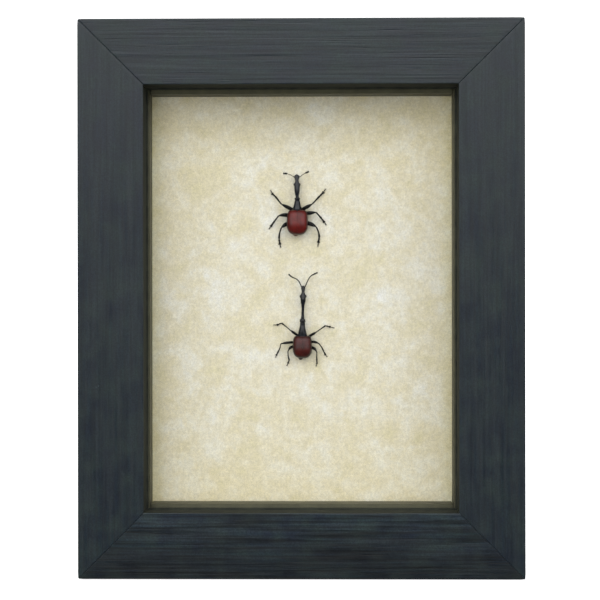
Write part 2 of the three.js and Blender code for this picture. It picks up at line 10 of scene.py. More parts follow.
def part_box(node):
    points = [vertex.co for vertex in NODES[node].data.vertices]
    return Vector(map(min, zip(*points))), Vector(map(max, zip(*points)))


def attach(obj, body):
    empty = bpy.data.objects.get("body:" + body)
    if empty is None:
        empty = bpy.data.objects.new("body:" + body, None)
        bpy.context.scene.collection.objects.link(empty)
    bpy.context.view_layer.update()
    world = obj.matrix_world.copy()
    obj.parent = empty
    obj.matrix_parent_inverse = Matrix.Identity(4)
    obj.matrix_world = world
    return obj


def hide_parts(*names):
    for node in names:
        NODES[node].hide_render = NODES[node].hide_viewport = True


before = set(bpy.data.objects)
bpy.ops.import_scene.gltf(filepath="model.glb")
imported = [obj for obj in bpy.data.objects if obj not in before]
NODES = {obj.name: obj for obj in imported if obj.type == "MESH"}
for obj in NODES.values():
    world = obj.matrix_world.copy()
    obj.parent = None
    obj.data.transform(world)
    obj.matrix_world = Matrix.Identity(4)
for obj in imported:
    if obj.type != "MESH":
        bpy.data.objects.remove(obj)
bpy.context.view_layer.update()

# Everything below is worked out in millimetres and turned into metres as a mesh is made
MM = 0.001
IN_MM = 1 / MM


def node_box(name):
    """A CAD node's lowest and highest corners in millimetres."""
    low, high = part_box(name)
    return np.array(low) * IN_MM, np.array(high) * IN_MM


# Sizes read from the CAD frame
RAIL_LOW, RAIL_HIGH = node_box("rail_bottom")
BOARD_LOW, BOARD_HIGH = node_box("mount_board")
FRONT_Y = RAIL_LOW[1]
FRAME_DEPTH = RAIL_HIGH[1] - RAIL_LOW[1]
FRAME_WIDTH = -2 * node_box("rail_left")[0][0]
FRAME_HEIGHT = node_box("rail_top")[1][2]
MIDDLE_Z = FRAME_HEIGHT / 2
PAPER_Y = BOARD_LOW[1]

# The rails' section and joint, as in the CAD, and how finely the rails are drawn along their length
LEDGE_WIDTH = 0.4
FACE_WIDTH = RAIL_HIGH[2] - LEDGE_WIDTH
LIP_DEPTH = 11
LEDGE_DEPTH = 9
RABBET_WIDTH = 6
OUTER_ROUND = 0.6
INNER_ROUND = 0.3
MITRE_GAP = 0.02
MITRE_GROOVE = 0.12
MITRE_SOFTNESS = 0.1
RING_SPACING = 1.2
CORNER_ROUND = 0.9

# The camera that fits the photograph's corners
CAMERA_PLACE = (7.89, -537.56, 91.39)
CAMERA_AZIMUTH = 0.899
CAMERA_ELEVATION = 0.037
CAMERA_ROLL = -0.074
FOCAL_PIXELS = 1604.8
PICTURE_PIXELS = 600
SENSOR_MM = 36

# Lights: a wide softbox in front, a soft fill just below the camera that leaves no glints, and a
# softbox behind. Each has its distance and its sizes in metres, its height above the horizon and
# its turn to the right in degrees, and its radiance. A dim sky lies over all of them.
KEY = {"distance": 1.5, "height": 30, "turn": 0, "size": (3.6, 1.08), "radiance": 2.05}
FILL = {"distance": 1.4, "height": -4, "turn": -6, "size": (0.9, 0.6), "radiance": 4.1}
BACK = {"distance": 1.0, "height": 50, "turn": 0, "size": (0.9, 0.5), "radiance": 3.5}
FLOOR_DROP = 0.0003
SKY_LOW = 0.22
SKY_HIGH = 0.6
SKY_FADE = (-0.1, 0.15)
SKY_COLOR = (0.97, 0.99, 1.0, 1.0)

# The dark cloth in front of the frame, seen by its glass and its paint: how wide it is in degrees,
# where its soft edge ends, and what share of the sky it lets through
CLOTH_WIDTH = 13
CLOTH_EDGE = 30
CLOTH_SHARE = 0.06


# Camera


def add_camera():
    azimuth = math.radians(CAMERA_AZIMUTH)
    elevation = math.radians(CAMERA_ELEVATION)
    ahead = Vector((-math.sin(azimuth), math.cos(azimuth), -math.tan(elevation))).normalized()
    data = bpy.data.cameras.new("camera")
    data.sensor_width = SENSOR_MM
    data.lens = FOCAL_PIXELS / PICTURE_PIXELS * SENSOR_MM
    data.clip_start = 0.01
    camera = bpy.data.objects.new("camera", data)
    bpy.context.scene.collection.objects.link(camera)
    turn = ahead.to_track_quat("-Z", "Y").to_matrix().to_4x4()
    roll = Matrix.Rotation(math.radians(CAMERA_ROLL), 4, "Z")
    camera.matrix_world = Matrix.Translation(Vector(CAMERA_PLACE) * MM) @ turn @ roll
    bpy.context.scene.camera = camera


# Materials


def srgb(red, green, blue):
    """A colour given as it looks on screen, 0 to 255, as linear light."""
    linear = []
    for value in (red, green, blue):
        share = value / 255
        linear.append(share / 12.92 if share <= 0.04045 else ((share + 0.055) / 1.055) ** 2.4)
    return (*linear, 1.0)


# Where most of a noise's values lie
NOISE_SPAN = (0.3, 0.7)


class Nodes:
    """Short ways to add nodes to a tree."""

    def __init__(self, tree):
        self.tree = tree

    def node(self, kind, properties=None, **sockets):
        made = self.tree.nodes.new(kind)
        for key, value in (properties or {}).items():
            setattr(made, key, value)
        for key, value in sockets.items():
            made.inputs[key].default_value = value
        return made

    def link(self, source, target):
        self.tree.links.new(source, target)

    def feed(self, value, target):
        """Gives a socket another socket's value or a plain one."""
        if isinstance(value, bpy.types.NodeSocket):
            self.link(value, target)
        else:
            target.default_value = value

    def coordinates(self, output="Object"):
        return self.node("ShaderNodeTexCoord").outputs[output]

    def axis(self, name, output="Object"):
        split = self.node("ShaderNodeSeparateXYZ")
        self.link(self.coordinates(output), split.inputs[0])
        return split.outputs[name]

    def math(self, operation, *values):
        made = self.node("ShaderNodeMath", {"operation": operation})
        for value, target in zip(values, made.inputs):
            self.feed(value, target)
        return made.outputs[0]

    def vector_math(self, operation, source, fixed):
        made = self.node("ShaderNodeVectorMath", {"operation": operation})
        self.link(source, made.inputs[0])
        made.inputs[1].default_value = fixed
        return made.outputs["Value"]

    def levels(self, source, low, high, to_low=0.0, to_high=1.0):
        """A value moved smoothly from one range to another."""
        made = self.node("ShaderNodeMapRange", {"interpolation_type": "SMOOTHSTEP"})
        for name, value in (("From Min", low), ("From Max", high), ("To Min", to_low), ("To Max", to_high)):
            made.inputs[name].default_value = value
        self.link(source, made.inputs["Value"])
        return made.outputs["Result"]


class Look(Nodes):
    """A node material that grows round one Principled shader."""

    def __init__(self, name, base, roughness, **sockets):
        self.material = bpy.data.materials.new(name)
        self.material.use_nodes = True
        super().__init__(self.material.node_tree)
        self.tree.nodes.clear()
        sockets = {"Base Color": base, "Roughness": roughness, **sockets}
        self.shader = self.node("ShaderNodeBsdfPrincipled", **sockets)
        output = self.node("ShaderNodeOutputMaterial")
        self.link(self.shader.outputs[0], output.inputs["Surface"])

    def noise(self, scale, detail=3.0, roughness=0.55, distortion=0.0):
        """Noise with a scale in cycles a metre, one number or one for each axis."""
        scales = scale if isinstance(scale, tuple) else (scale, scale, scale)
        mapping = self.node("ShaderNodeMapping", Scale=scales)
        self.link(self.coordinates(), mapping.inputs["Vector"])
        sockets = {"Scale": 1.0, "Detail": detail, "Roughness": roughness, "Distortion": distortion}
        made = self.node("ShaderNodeTexNoise", **sockets)
        self.link(mapping.outputs["Vector"], made.inputs["Vector"])
        return made.outputs["Fac"]

    def ramp(self, source, *stops):
        """Colours along a value, each stop (place, colour)."""
        made = self.node("ShaderNodeValToRGB")
        elements = made.color_ramp.elements
        while len(elements) < len(stops):
            elements.new(0.5)
        for element, (place, color) in zip(elements, stops):
            element.position = place
            element.color = color
        self.link(source, made.inputs["Fac"])
        return made.outputs["Color"]

    def mix(self, share, first, second, blend="MIX"):
        """Mixes two colours, each a socket or a plain colour."""
        made = self.node("ShaderNodeMix", {"data_type": "RGBA", "blend_type": blend})
        for socket, value in ((0, share), (6, first), (7, second)):
            self.feed(value, made.inputs[socket])
        return made.outputs[2]

    def shade(self, color, source, amount):
        """Darkens and lightens a colour by a share of itself as a noise rises."""
        factor = self.levels(source, *NOISE_SPAN, 1 - amount, 1 + amount)
        return self.mix(1.0, color, factor, "MULTIPLY")

    def reach(self):
        """The distance from the frame's middle, in metres."""
        return self.vector_math("DISTANCE", self.coordinates(), (0, PAPER_Y * MM, MIDDLE_Z * MM))

    def facing_front(self):
        """1 where a surface faces the front of the frame, 0 where it faces sideways."""
        return self.vector_math("DOT_PRODUCT", self.coordinates("Normal"), (0, -1, 0))

    def beside(self, half_width):
        """The distance from the frame's middle plane, as a share of a half width in millimetres."""
        return self.math("DIVIDE", self.math("ABSOLUTE", self.axis("X")), half_width * MM)

    def color(self, source):
        self.link(source, self.shader.inputs["Base Color"])

    def roughness(self, source, low, high):
        self.link(self.levels(source, *NOISE_SPAN, low, high), self.shader.inputs["Roughness"])

    def bump(self, source, distance_mm, strength):
        made = self.node("ShaderNodeBump", Strength=strength, Distance=distance_mm * MM)
        self.link(source, made.inputs["Height"])
        self.link(made.outputs["Normal"], self.shader.inputs["Normal"])


# How strongly the painted grain shows on each kind of rail, and how strong the painted shade is that darkens
# a rail towards its lowest edge and lightens it a little above
PAINT = {
    "bottom": {"along": "X", "lines": 0.62, "weave": 0.3, "bump": 0.9, "foot": 0.45},
    "top": {"along": "X", "lines": 0.25, "weave": 0.26, "bump": 0.5, "foot": 0.0},
    "upright": {"along": "Z", "lines": 0.16, "weave": 0.26, "bump": 0.5, "foot": 0.0},
}


def painted_wood(kind):
    """Satin slate paint over a grain that runs along the X or the Z axis, on the bottom rail with painted
    shade that darkens it towards the floor.
    """
    form = PAINT[kind]
    look = Look(f"slate_paint_{kind}", srgb(27, 32, 35), 0.4, **{"Specular IOR Level": 0.48})

    def grown(along, deep, across):
        return (along, deep, across) if form["along"] == "X" else (across, deep, along)

    grain = look.noise(grown(60, 700, 2400), detail=4)
    streaks = look.noise(grown(25, 300, 500), detail=3)
    lines = look.noise(grown(30, 400, 1150), detail=2, roughness=0.6)
    weave = look.noise(2300, detail=2, roughness=0.6)
    clouds = look.noise(160, detail=5, roughness=0.6)
    slate = look.ramp(clouds, (0.34, srgb(18, 27, 38)), (0.5, srgb(20, 32, 38)), (0.66, srgb(24, 38, 38)))
    worn = look.mix(look.levels(grain, *NOISE_SPAN, 0.0, 0.35), slate, srgb(13, 16, 19))
    streaked = look.mix(look.levels(streaks, 0.35, 0.65, 0.0, 0.3), worn, srgb(36, 43, 46))
    lined = look.shade(look.shade(streaked, lines, form["lines"]), weave, form["weave"])
    # Painted shade: the rail is darker towards its lowest edge and a little lighter at its top
    foot = look.levels(look.axis("Z"), 0.0, RAIL_HIGH[2] * MM, 1 - form["foot"], 1.0 + form["foot"] / 3)
    specks = look.levels(look.noise(900, detail=1), 0.84, 0.86)
    look.color(look.mix(specks, look.mix(1.0, lined, foot, "MULTIPLY"), srgb(96, 104, 104)))
    clouded = look.math("ADD", grain, look.levels(clouds, 0.0, 1.0, -0.25, 0.25))
    look.roughness(clouded, 0.34, 0.48)
    relief = look.math("ADD", look.math("ADD", grain, streaks), lines)
    look.bump(relief, 0.02, form["bump"])
    return look.material


def noisy(look, noise, low, high, rough, bump):
    """Colours a look along a noise between two (place, colour) stops and bumps it by the same noise."""
    look.color(look.ramp(noise, low, high))
    look.roughness(noise, *rough)
    look.bump(noise, 0.02, bump)
    return look.material


def inner_paint():
    """The same slate paint left matt on the walls inside the opening, lighter and olive there as painted
    light bounced from the paper.
    """
    look = Look("slate_paint_inner", srgb(45, 48, 43), 0.85, **{"Specular IOR Level": 0.12})
    # Painted bounce light: lighter, olive shades of the slate paint
    stops = (0.35, srgb(36, 39, 36)), (0.65, srgb(54, 57, 50))
    return noisy(look, look.noise(300, detail=4), *stops, (0.78, 0.92), 0.3)


def spacer_wood():
    look = Look("spacer_wood", srgb(76, 75, 56), 0.6)
    stops = (0.3, srgb(71, 70, 53)), (0.7, srgb(91, 90, 69))
    return noisy(look, look.noise((300, 1200, 300), detail=4), *stops, (0.5, 0.7), 0.4)


def parchment():
    """Cream paper with soft clouds of tan and pale blue-grey, with painted warm shade that darkens and
    yellows it towards the edges of the opening.
    """
    look = Look("parchment", srgb(226, 220, 196), 0.85, **{"Specular IOR Level": 0.25})
    drift = look.noise(95, detail=5, roughness=0.58, distortion=0.6)
    clouds = look.noise(250, detail=7, roughness=0.7, distortion=0.3)
    black, white = (0, 0, 0, 1), (1, 1, 1, 1)
    shades = [look.ramp(value, (0.0, black), (1.0, white)) for value in (drift, clouds)]
    base = look.ramp(
        look.mix(0.5, *shades),
        (0.36, srgb(215, 208, 175)),
        (0.45, srgb(220, 213, 187)),
        (0.52, srgb(224, 219, 199)),
        (0.60, srgb(228, 226, 213)),
        (0.68, srgb(231, 231, 225)),
    )
    fibres = look.noise((1400, 1400, 500), detail=5, roughness=0.7)
    grain = look.noise(1600, detail=3, roughness=0.65)
    blots = look.noise(620, detail=3, roughness=0.6)
    # Painted warm shade: the paper yellows outwards from the middle, and darkens and yellows more beside the
    # side walls
    outwards = look.levels(look.reach(), 0.03, 0.085)
    painted_shade_outwards = look.mix(outwards, base, (0.97, 0.945, 0.85, 1), "MULTIPLY")
    sideways = look.levels(look.beside(FRAME_WIDTH / 2 - FACE_WIDTH), 0.88, 1.0)
    painted_shade_beside = look.mix(sideways, painted_shade_outwards, (0.9, 0.9, 0.79, 1), "MULTIPLY")
    fibrous = look.mix(look.levels(fibres, 0.35, 0.75, 0.0, 0.3), painted_shade_beside, srgb(205, 196, 160))
    look.color(look.shade(look.shade(fibrous, blots, 0.05), grain, 0.085))
    look.roughness(fibres, 0.78, 0.92)
    look.bump(fibres, 0.02, 0.35)
    return look.material


def fibreboard():
    look = Look("fibreboard", srgb(134, 106, 74), 0.8)
    fibres = look.noise((900, 900, 260), detail=6, roughness=0.7)
    flakes = look.noise(2600, detail=2)
    base = look.ramp(fibres, (0.3, srgb(112, 86, 58)), (0.5, srgb(136, 107, 75)), (0.7, srgb(156, 128, 94)))
    look.color(look.mix(look.levels(flakes, 0.6, 0.72, 0.0, 0.5), base, srgb(88, 66, 44)))
    look.roughness(fibres, 0.7, 0.9)
    look.bump(fibres, 0.05, 0.5)
    return look.material


def zinc():
    look = Look("zinc_steel", srgb(168, 168, 164), 0.35, Metallic=1.0)
    brushed = look.noise((200, 900, 2600), detail=4)
    spangle = look.noise(500, detail=2)
    look.color(look.ramp(spangle, (0.35, srgb(150, 150, 146)), (0.65, srgb(186, 186, 182))))
    look.roughness(brushed, 0.25, 0.45)
    look.bump(brushed, 0.01, 0.3)
    return look.material


def clear_glass():
    sockets = {"Transmission Weight": 1.0, "IOR": 1.45, "Specular IOR Level": 0.12}
    return Look("clear_glass", (1, 1, 1, 1), 0.0, **sockets).material


def cuticle(name, dark, sheen, roughness=0.3, specular=0.38):
    """Insect shell: nearly black, with a cool sheen painted into its colour in soft blotches, and fine
    shagreen.
    """
    look = Look(name, dark, roughness, **{"Specular IOR Level": specular})
    broad = look.noise(700, detail=4)
    pores = look.noise(7000, detail=3)
    # Painted sheen: soft blotches of a lighter colour over the dark
    look.color(look.mix(look.levels(broad, 0.4, 0.65), dark, sheen))
    look.roughness(pores, roughness - 0.07, roughness + 0.1)
    look.bump(pores, 0.003, 0.3)
    return look.material


def red_shell(name, deep, bright):
    """Glossy wing case, clear red, darker where it turns sideways: partly its darker rim, partly painted
    shade.
    """
    look = Look(name, deep, 0.3, **{"Specular IOR Level": 0.4})
    broad = look.noise(500, detail=5)
    pores = look.noise(5200, detail=3)
    clouded = look.mix(look.levels(broad, 0.35, 0.68), deep, bright)
    # Painted shade, with the darker rim: the red darkens where the surface turns sideways from the front
    sides = look.mix(1.0, deep, (0.45, 0.5, 0.5, 1), "MULTIPLY")
    look.color(look.mix(look.levels(look.facing_front(), 0.45, 0.9), sides, clouded))
    look.roughness(pores, 0.27, 0.36)
    look.bump(pores, 0.003, 0.25)
    return look.material


def eye_shell():
    look = Look("eye_shell", srgb(12, 11, 11), 0.14, **{"Coat Weight": 0.6, "Coat Roughness": 0.05})
    broad = look.noise(1500, detail=2)
    look.color(look.ramp(broad, (0.4, srgb(8, 8, 9)), (0.65, srgb(26, 21, 18))))
    return look.material


LOOKS = {
    "paint_bottom": painted_wood("bottom"),
    "paint_top": painted_wood("top"),
    "paint_upright": painted_wood("upright"),
    "inner_paint": inner_paint(),
    "spacer": spacer_wood(),
    "parchment": parchment(),
    "fibreboard": fibreboard(),
    "zinc": zinc(),
    "glass": clear_glass(),
    "black": cuticle("black_shell", srgb(7, 9, 12), srgb(14, 19, 27), roughness=0.19, specular=0.4),
    "legs": cuticle("leg_shell", srgb(6, 7, 5), srgb(12, 13, 10), roughness=0.28, specular=0.25),
    "male_tail": cuticle("wine_tail", srgb(30, 13, 10), srgb(48, 20, 15)),
    "female_tail": cuticle("red_tail", srgb(84, 27, 17), srgb(106, 38, 24)),
    "male_red": red_shell("wine_shell", srgb(50, 11, 5), srgb(72, 16, 9)),
    "female_red": red_shell("red_shell", srgb(78, 10, 4), srgb(104, 16, 8)),
    "eye": eye_shell(),
}


# Meshes


def joined(parts):
    """One list of points and faces from several."""
    points, faces, start = [], [], 0
    for some_points, some_faces in parts:
        points.append(np.asarray(some_points, float))
        faces.extend([tuple(i + start for i in face) for face in some_faces])
        start += len(some_points)
    return np.concatenate(points), faces


def make_piece(name, points, faces, look, node, sharp=45):
    """A named piece in millimetres that stands for a node, smooth but for its sharp edges."""
    mesh = bpy.data.meshes.new(name)
    mesh.from_pydata((np.asarray(points) * MM).tolist(), [], [list(face) for face in faces])
    work = bmesh.new()
    work.from_mesh(mesh)
    bmesh.ops.recalc_face_normals(work, faces=work.faces)
    work.to_mesh(mesh)
    work.free()
    mesh.polygons.foreach_set("use_smooth", [True] * len(mesh.polygons))
    mesh.set_sharp_from_angle(angle=math.radians(sharp))
    mesh.materials.append(LOOKS[look])
    piece = bpy.data.objects.new(name, mesh)
    bpy.context.scene.collection.objects.link(piece)
    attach(piece, "root")
    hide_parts(node)
    return piece


def bands(rings, sides, start=0):
    """The four-sided faces between closed rings of points, one ring after another."""
    faces = []
    for i in range(rings - 1):
        a = start + i * sides
        for j in range(sides):
            k = (j + 1) % sides
            faces.append((a + j, a + k, a + sides + k, a + sides + j))
    return faces


def net(rows, columns):
    """The four-sided faces of an open sheet of points, row after row."""
    corners = [i * columns + j for i in range(rows - 1) for j in range(columns - 1)]
    return [(a, a + 1, a + columns + 1, a + columns) for a in corners]


def lattice(x, y, seed):
    """Smooth noise from -1 to 1 over two arrays of places."""
    size = 256
    table = np.random.default_rng(seed).uniform(-1, 1, (size, size))
    column, row = np.floor(x).astype(int), np.floor(y).astype(int)
    across, up = x - column, y - row
    across, up = across * across * (3 - 2 * across), up * up * (3 - 2 * up)

    def corner(i, j):
        return table[(column + i) % size, (row + j) % size]

    low = corner(0, 0) * (1 - across) + corner(1, 0) * across
    high = corner(0, 1) * (1 - across) + corner(1, 1) * across
    return low * (1 - up) + high * up


# Frame rails


def rail_section():
    """The closed section, (in from the outer edge, back from the face), dense over the face."""
    outer, r = OUTER_ROUND, INNER_ROUND
    inner = FACE_WIDTH + LEDGE_WIDTH
    rabbet = FACE_WIDTH - RABBET_WIDTH
    arc = np.linspace(0, math.pi / 2, 7)[:-1]
    outer_arc = [(outer - outer * math.cos(a), outer - outer * math.sin(a)) for a in arc]
    face = [(u, 0.0) for u in np.arange(outer, FACE_WIDTH - r + 0.01, 0.1)]
    inner_arc = [(FACE_WIDTH - r + r * math.sin(a), r - r * math.cos(a)) for a in arc[1:]]
    step = [
        (FACE_WIDTH, r),
        (FACE_WIDTH, LEDGE_DEPTH),
        (FACE_WIDTH + 0.12, LEDGE_DEPTH + 0.02),
        (inner, LEDGE_DEPTH + 0.25),
        (inner, LIP_DEPTH),
        (rabbet, LIP_DEPTH),
        (rabbet, FRAME_DEPTH - 0.4),
        (rabbet - 0.4, FRAME_DEPTH),
        (0.4, FRAME_DEPTH),
        (0.0, FRAME_DEPTH - 0.4),
    ]
    return np.array(outer_arc + face + inner_arc + step)


def grain(along, across, seed):
    """How far the painted grain dips, in millimetres: fine long lines over slow waves."""
    wander = 0.5 * lattice(along / 38, across / 5, seed)
    fine = lattice(along / 26, (across + wander) / 0.34, seed + 1)
    broad = lattice(along / 55, (across + wander) / 1.3, seed + 2)
    pores = np.clip(lattice(along / 9, (across + wander) / 0.25, seed + 3) - 0.62, 0, 1)
    return 0.010 * fine + 0.014 * broad + 0.09 * pores


def corner_rounded(x, u, length):
    """Draws the points of the frame's outer corner in to a small round."""
    end = length / 2 - np.abs(x)
    from_x, from_u = CORNER_ROUND - end, CORNER_ROUND - u
    reach = np.hypot(from_x, from_u)
    outside = (from_x > 0) & (from_u > 0) & (reach > CORNER_ROUND)
    scale = np.where(outside, CORNER_ROUND / np.maximum(reach, 1e-9), 1)
    new_end = np.where(outside, CORNER_ROUND - from_x * scale, end)
    new_u = np.where(outside, CORNER_ROUND - from_u * scale, u)
    return np.sign(x) * (length / 2 - new_end), new_u


def rail(node, length, turn, look, seed):
    """One mitred rail: the bottom one, turned about the frame's middle."""
    section = rail_section()
    half = length / 2 - section[:, 0] - MITRE_GAP
    close = np.array([0, 0.04, 0.09, 0.16, 0.3])
    inside = np.linspace(-1, 1, int(length / RING_SPACING))[1:-1, None] * (half - 0.6)[None, :]
    x = np.vstack([close[:, None] - half[None, :], inside, half[None, :] - close[::-1, None]])
    count = len(x)
    u = np.broadcast_to(section[:, 0], x.shape)
    depth = np.broadcast_to(section[:, 1], x.shape).copy()
    on_face = depth < 0.001
    depth[on_face] += grain(x[on_face] + length, u[on_face], seed)
    from_mitre = half[None, :] - np.abs(x)
    depth[on_face] += MITRE_GROOVE * bell(from_mitre[on_face], 0, MITRE_SOFTNESS)
    x, u = corner_rounded(x, u, length)
    local_z = u - (FRAME_HEIGHT if node in ("rail_bottom", "rail_top") else FRAME_WIDTH) / 2
    turned_x = x * math.cos(turn) + local_z * math.sin(turn)
    turned_z = -x * math.sin(turn) + local_z * math.cos(turn)
    points = np.stack([turned_x, FRONT_Y + depth, MIDDLE_Z + turned_z], -1).reshape(-1, 3)
    sides = len(section)
    faces = bands(count, sides)
    faces.append(tuple(range(sides)))
    faces.append(tuple(range((count - 1) * sides, count * sides)))
    name = node.replace("rail", "painted_rail")
    piece = make_piece(name, points, faces, look, node, sharp=35)
    piece.data.materials.append(LOOKS["inner_paint"])
    inside = (section[:, 1] > INNER_ROUND / 2) & (section[:, 0] > FACE_WIDTH - RABBET_WIDTH - 0.01)
    walls = inside & np.roll(inside, -1)
    inner_faces = np.concatenate([np.tile(walls, count - 1), [0, 0]]).astype(np.int32)
    piece.data.polygons.foreach_set("material_index", inner_faces)


def frame_rails():
    rail("rail_bottom", FRAME_WIDTH, 0, "paint_bottom", 11)
    rail("rail_top", FRAME_WIDTH, math.pi, "paint_top", 23)
    rail("rail_left", FRAME_HEIGHT, math.pi / 2, "paint_upright", 37)
    rail("rail_right", FRAME_HEIGHT, -math.pi / 2, "paint_upright", 51)


# Board and fittings


def parchment_board():
    """The mount board, its paper face very slightly cockled and turned over the edges."""
    low, high = BOARD_LOW, BOARD_HIGH
    columns, rows = 150, 200
    x = np.linspace(low[0], high[0], columns)
    z = np.linspace(low[2], high[2], rows)
    gx, gz = np.meshgrid(x, z, indexing="ij")
    edge = np.minimum.reduce([gx - low[0], high[0] - gx, gz - low[2], high[2] - gz])
    relief = 0.03 * lattice(gx / 9 + 40, gz / 9 + 40, 5) + 0.006 * lattice(gx / 0.9 + 90, gz / 0.9 + 90, 6)
    turn_over = 0.35 * np.clip(1 - edge / 0.8, 0, 1) ** 2
    front = np.stack([gx, low[1] + 0.04 + np.clip(relief, -0.03, 1) + turn_over, gz], -1).reshape(-1, 3)
    back = np.array([(px, high[1], pz) for pz in (low[2], high[2]) for px in (low[0], high[0])])
    points = np.concatenate([front, back])
    faces = net(columns, rows)
    # The four corners at the back, named by side and height
    left_low, right_low, left_high, right_high = range(len(front), len(points))
    last = (columns - 1) * rows
    faces.append((*range(0, last + 1, rows), right_low, left_low))
    faces.append((*range(rows - 1, last + rows, rows), right_high, left_high))
    faces.append((*range(rows), left_high, left_low))
    faces.append((*range(last, last + rows), right_high, right_low))
    faces.append((left_low, right_low, right_high, left_high))
    make_piece("parchment_board", points, faces, "parchment", "mount_board")


def dress_node(name, look):
    """Gives a CAD node that keeps its shape a better material."""
    data = NODES[name].data
    data.materials.clear()
    data.materials.append(LOOKS[look])


def fittings():
    dress_node("glass", "glass")
    glass = NODES["glass"]
    glass.visible_shadow = glass.visible_diffuse = glass.visible_glossy = False
    dress_node("dust_cover", "fibreboard")
    dress_node("hanger", "zinc")
    for name in NODES:
        if name.startswith("spacer_"):
            dress_node(name, "spacer")
        if name.startswith("frame_point_"):
            dress_node(name, "zinc")


# Weevil forms, each in millimetres on the paper: x to its right, y headwards, z off the paper

OFF_PAPER = np.array([0.0, 0.0, 1.0])
HAIR_WIDTH = 0.035


def smooth_rows(rows, share):
    """Values between rows of (place, value, ...), with no overshoot."""
    rows = np.asarray(rows, float)
    place, values = rows[:, 0], rows[:, 1:]
    gap = np.diff(place)[:, None]
    slope = np.diff(values, axis=0) / gap
    tangent = np.zeros_like(values)
    product, total = slope[1:] * slope[:-1], slope[1:] + slope[:-1]
    tangent[1:-1] = np.where(product > 0, 2 * product / (total + 1e-12), 0)
    tangent[0], tangent[-1] = slope[0], slope[-1]
    index = np.clip(np.searchsorted(place, share, side="right") - 1, 0, len(place) - 2)
    step = gap[index]
    t = ((share - place[index])[:, None]) / step
    start, end = values[index], values[index + 1]
    return (
        (1 + 2 * t) * (1 - t) ** 2 * start
        + t * (1 - t) ** 2 * step * tangent[index]
        + t * t * (3 - 2 * t) * end
        + t * t * (t - 1) * step * tangent[index + 1]
    )


def smooth_path(points, steps=24):
    """Places and distances along a centripetal curve through the points."""

    def level(lower, t, s, reach):
        """One level of the curve's pyramid: each pair below it mixed over its own stretch."""
        made = []
        for j in range(len(lower) - 1):
            start, end = t[j], t[j + reach]
            made.append((end - s) / (end - start) * lower[j] + (s - start) / (end - start) * lower[j + 1])
        return made

    points = np.asarray(points, float)
    before, after = 2 * points[0] - points[1], 2 * points[-1] - points[-2]
    knots = np.vstack([before, points, after])
    places = []
    for i in range(len(points) - 1):
        p = knots[i : i + 4]
        t = np.concatenate([[0], np.cumsum(np.sqrt(np.linalg.norm(np.diff(p, axis=0), axis=1)))])
        s = np.linspace(t[1], t[2], steps, endpoint=i == len(points) - 2)[:, None]
        b = level(level(p, t, s, 1), t, s, 2)
        places.append(level(b, t[1:], s, 1)[0])
    places = np.vstack(places)
    distance = np.concatenate([[0], np.cumsum(np.linalg.norm(np.diff(places, axis=0), axis=1))])
    return places, distance


def along_path(places, distance, s):
    """The place on a curve at each distance from its start."""
    return np.stack([np.interp(s, distance, places[:, k]) for k in range(3)], -1)


def bell(value, middle, width):
    """1 at the middle, fading softly to 0 on both sides of it."""
    return np.exp(-(((value - middle) / width) ** 2))


def unit(vectors):
    return vectors / np.linalg.norm(vectors, axis=-1, keepdims=True)


def loft(points, rows, sides=18, steps=30, ends=(0.2, 0.2), span=(0.0, 1.0), relief=None):
    """A closed form along a curve, its ends rounded over the given lengths."""
    places, distance = smooth_path(points)
    start, stop = distance[-1] * span[0], distance[-1] * span[1]
    length = stop - start
    first, last = min(ends[0], length / 2), min(ends[1], length / 2)
    curve = 1 - np.cos(np.linspace(0, math.pi / 2, 6))
    inside = np.linspace(first, length - last, steps)[1:-1]
    s = np.concatenate([first * curve, inside, length - last * curve[::-1]])
    # Places that fall together, as in a ball, would make rings without a direction
    s = np.unique(np.round(s, 9))
    cap = 1
    for from_end in (s / max(first, 1e-6), (length - s) / max(last, 1e-6)):
        cap = cap * np.sqrt(np.clip(1 - (1 - np.minimum(from_end, 1)) ** 2, 0, 1))
    centre = along_path(places, distance, start + s)
    along = unit(np.gradient(centre, s, axis=0))
    across = unit(np.cross(along, OFF_PAPER))
    up = np.cross(across, along)
    share = s / length
    half = smooth_rows(rows, share) / 2 * cap[:, None]
    angle = np.linspace(0, 2 * math.pi, sides, endpoint=False)
    ring = (
        across[:, None] * (np.cos(angle)[None, :, None] * half[:, 0, None, None])
        + up[:, None] * (np.sin(angle)[None, :, None] * half[:, 1, None, None])
    )
    if relief is not None:
        lift = relief(share[:, None], angle[None, :]) * cap[:, None]
        ring = ring + unit(ring + 1e-9) * lift[..., None]
    body = centre[1:-1, None] + ring[1:-1]
    rings = len(body)
    made = np.vstack([centre[:1], body.reshape(-1, 3), centre[-1:]])
    faces = [(0, 1 + (j + 1) % sides, 1 + j) for j in range(sides)] + bands(rings, sides, start=1)
    final, tip = 1 + (rings - 1) * sides, len(made) - 1
    faces += [(final + j, final + (j + 1) % sides, tip) for j in range(sides)]
    return made, faces


def ball(centre, radii, sides=20):
    """A closed ellipsoid."""
    reach = radii[1]
    path = [np.add(centre, (0, -reach, 0)), np.add(centre, (0, reach, 0))]
    rows = [[0, 2 * radii[0], 2 * radii[2]], [1, 2 * radii[0], 2 * radii[2]]]
    return loft(path, rows, sides=sides, steps=3, ends=(reach, reach))


def spike(root, tip, width, sides=5):
    """A thin cone, for a claw, a tooth or a hair."""
    root, tip = np.asarray(root, float), np.asarray(tip, float)
    along = unit(tip - root)
    helper = OFF_PAPER if abs(along[2]) < 0.9 else np.array([1.0, 0, 0])
    across = unit(np.cross(along, helper))
    up = np.cross(along, across)
    angle = np.linspace(0, 2 * math.pi, sides, endpoint=False)
    ring = root + width / 2 * (np.cos(angle)[:, None] * across + np.sin(angle)[:, None] * up)
    points = np.vstack([ring, tip[None]])
    faces = [(j, (j + 1) % sides, sides) for j in range(sides)] + [tuple(range(sides))[::-1]]
    return points, faces


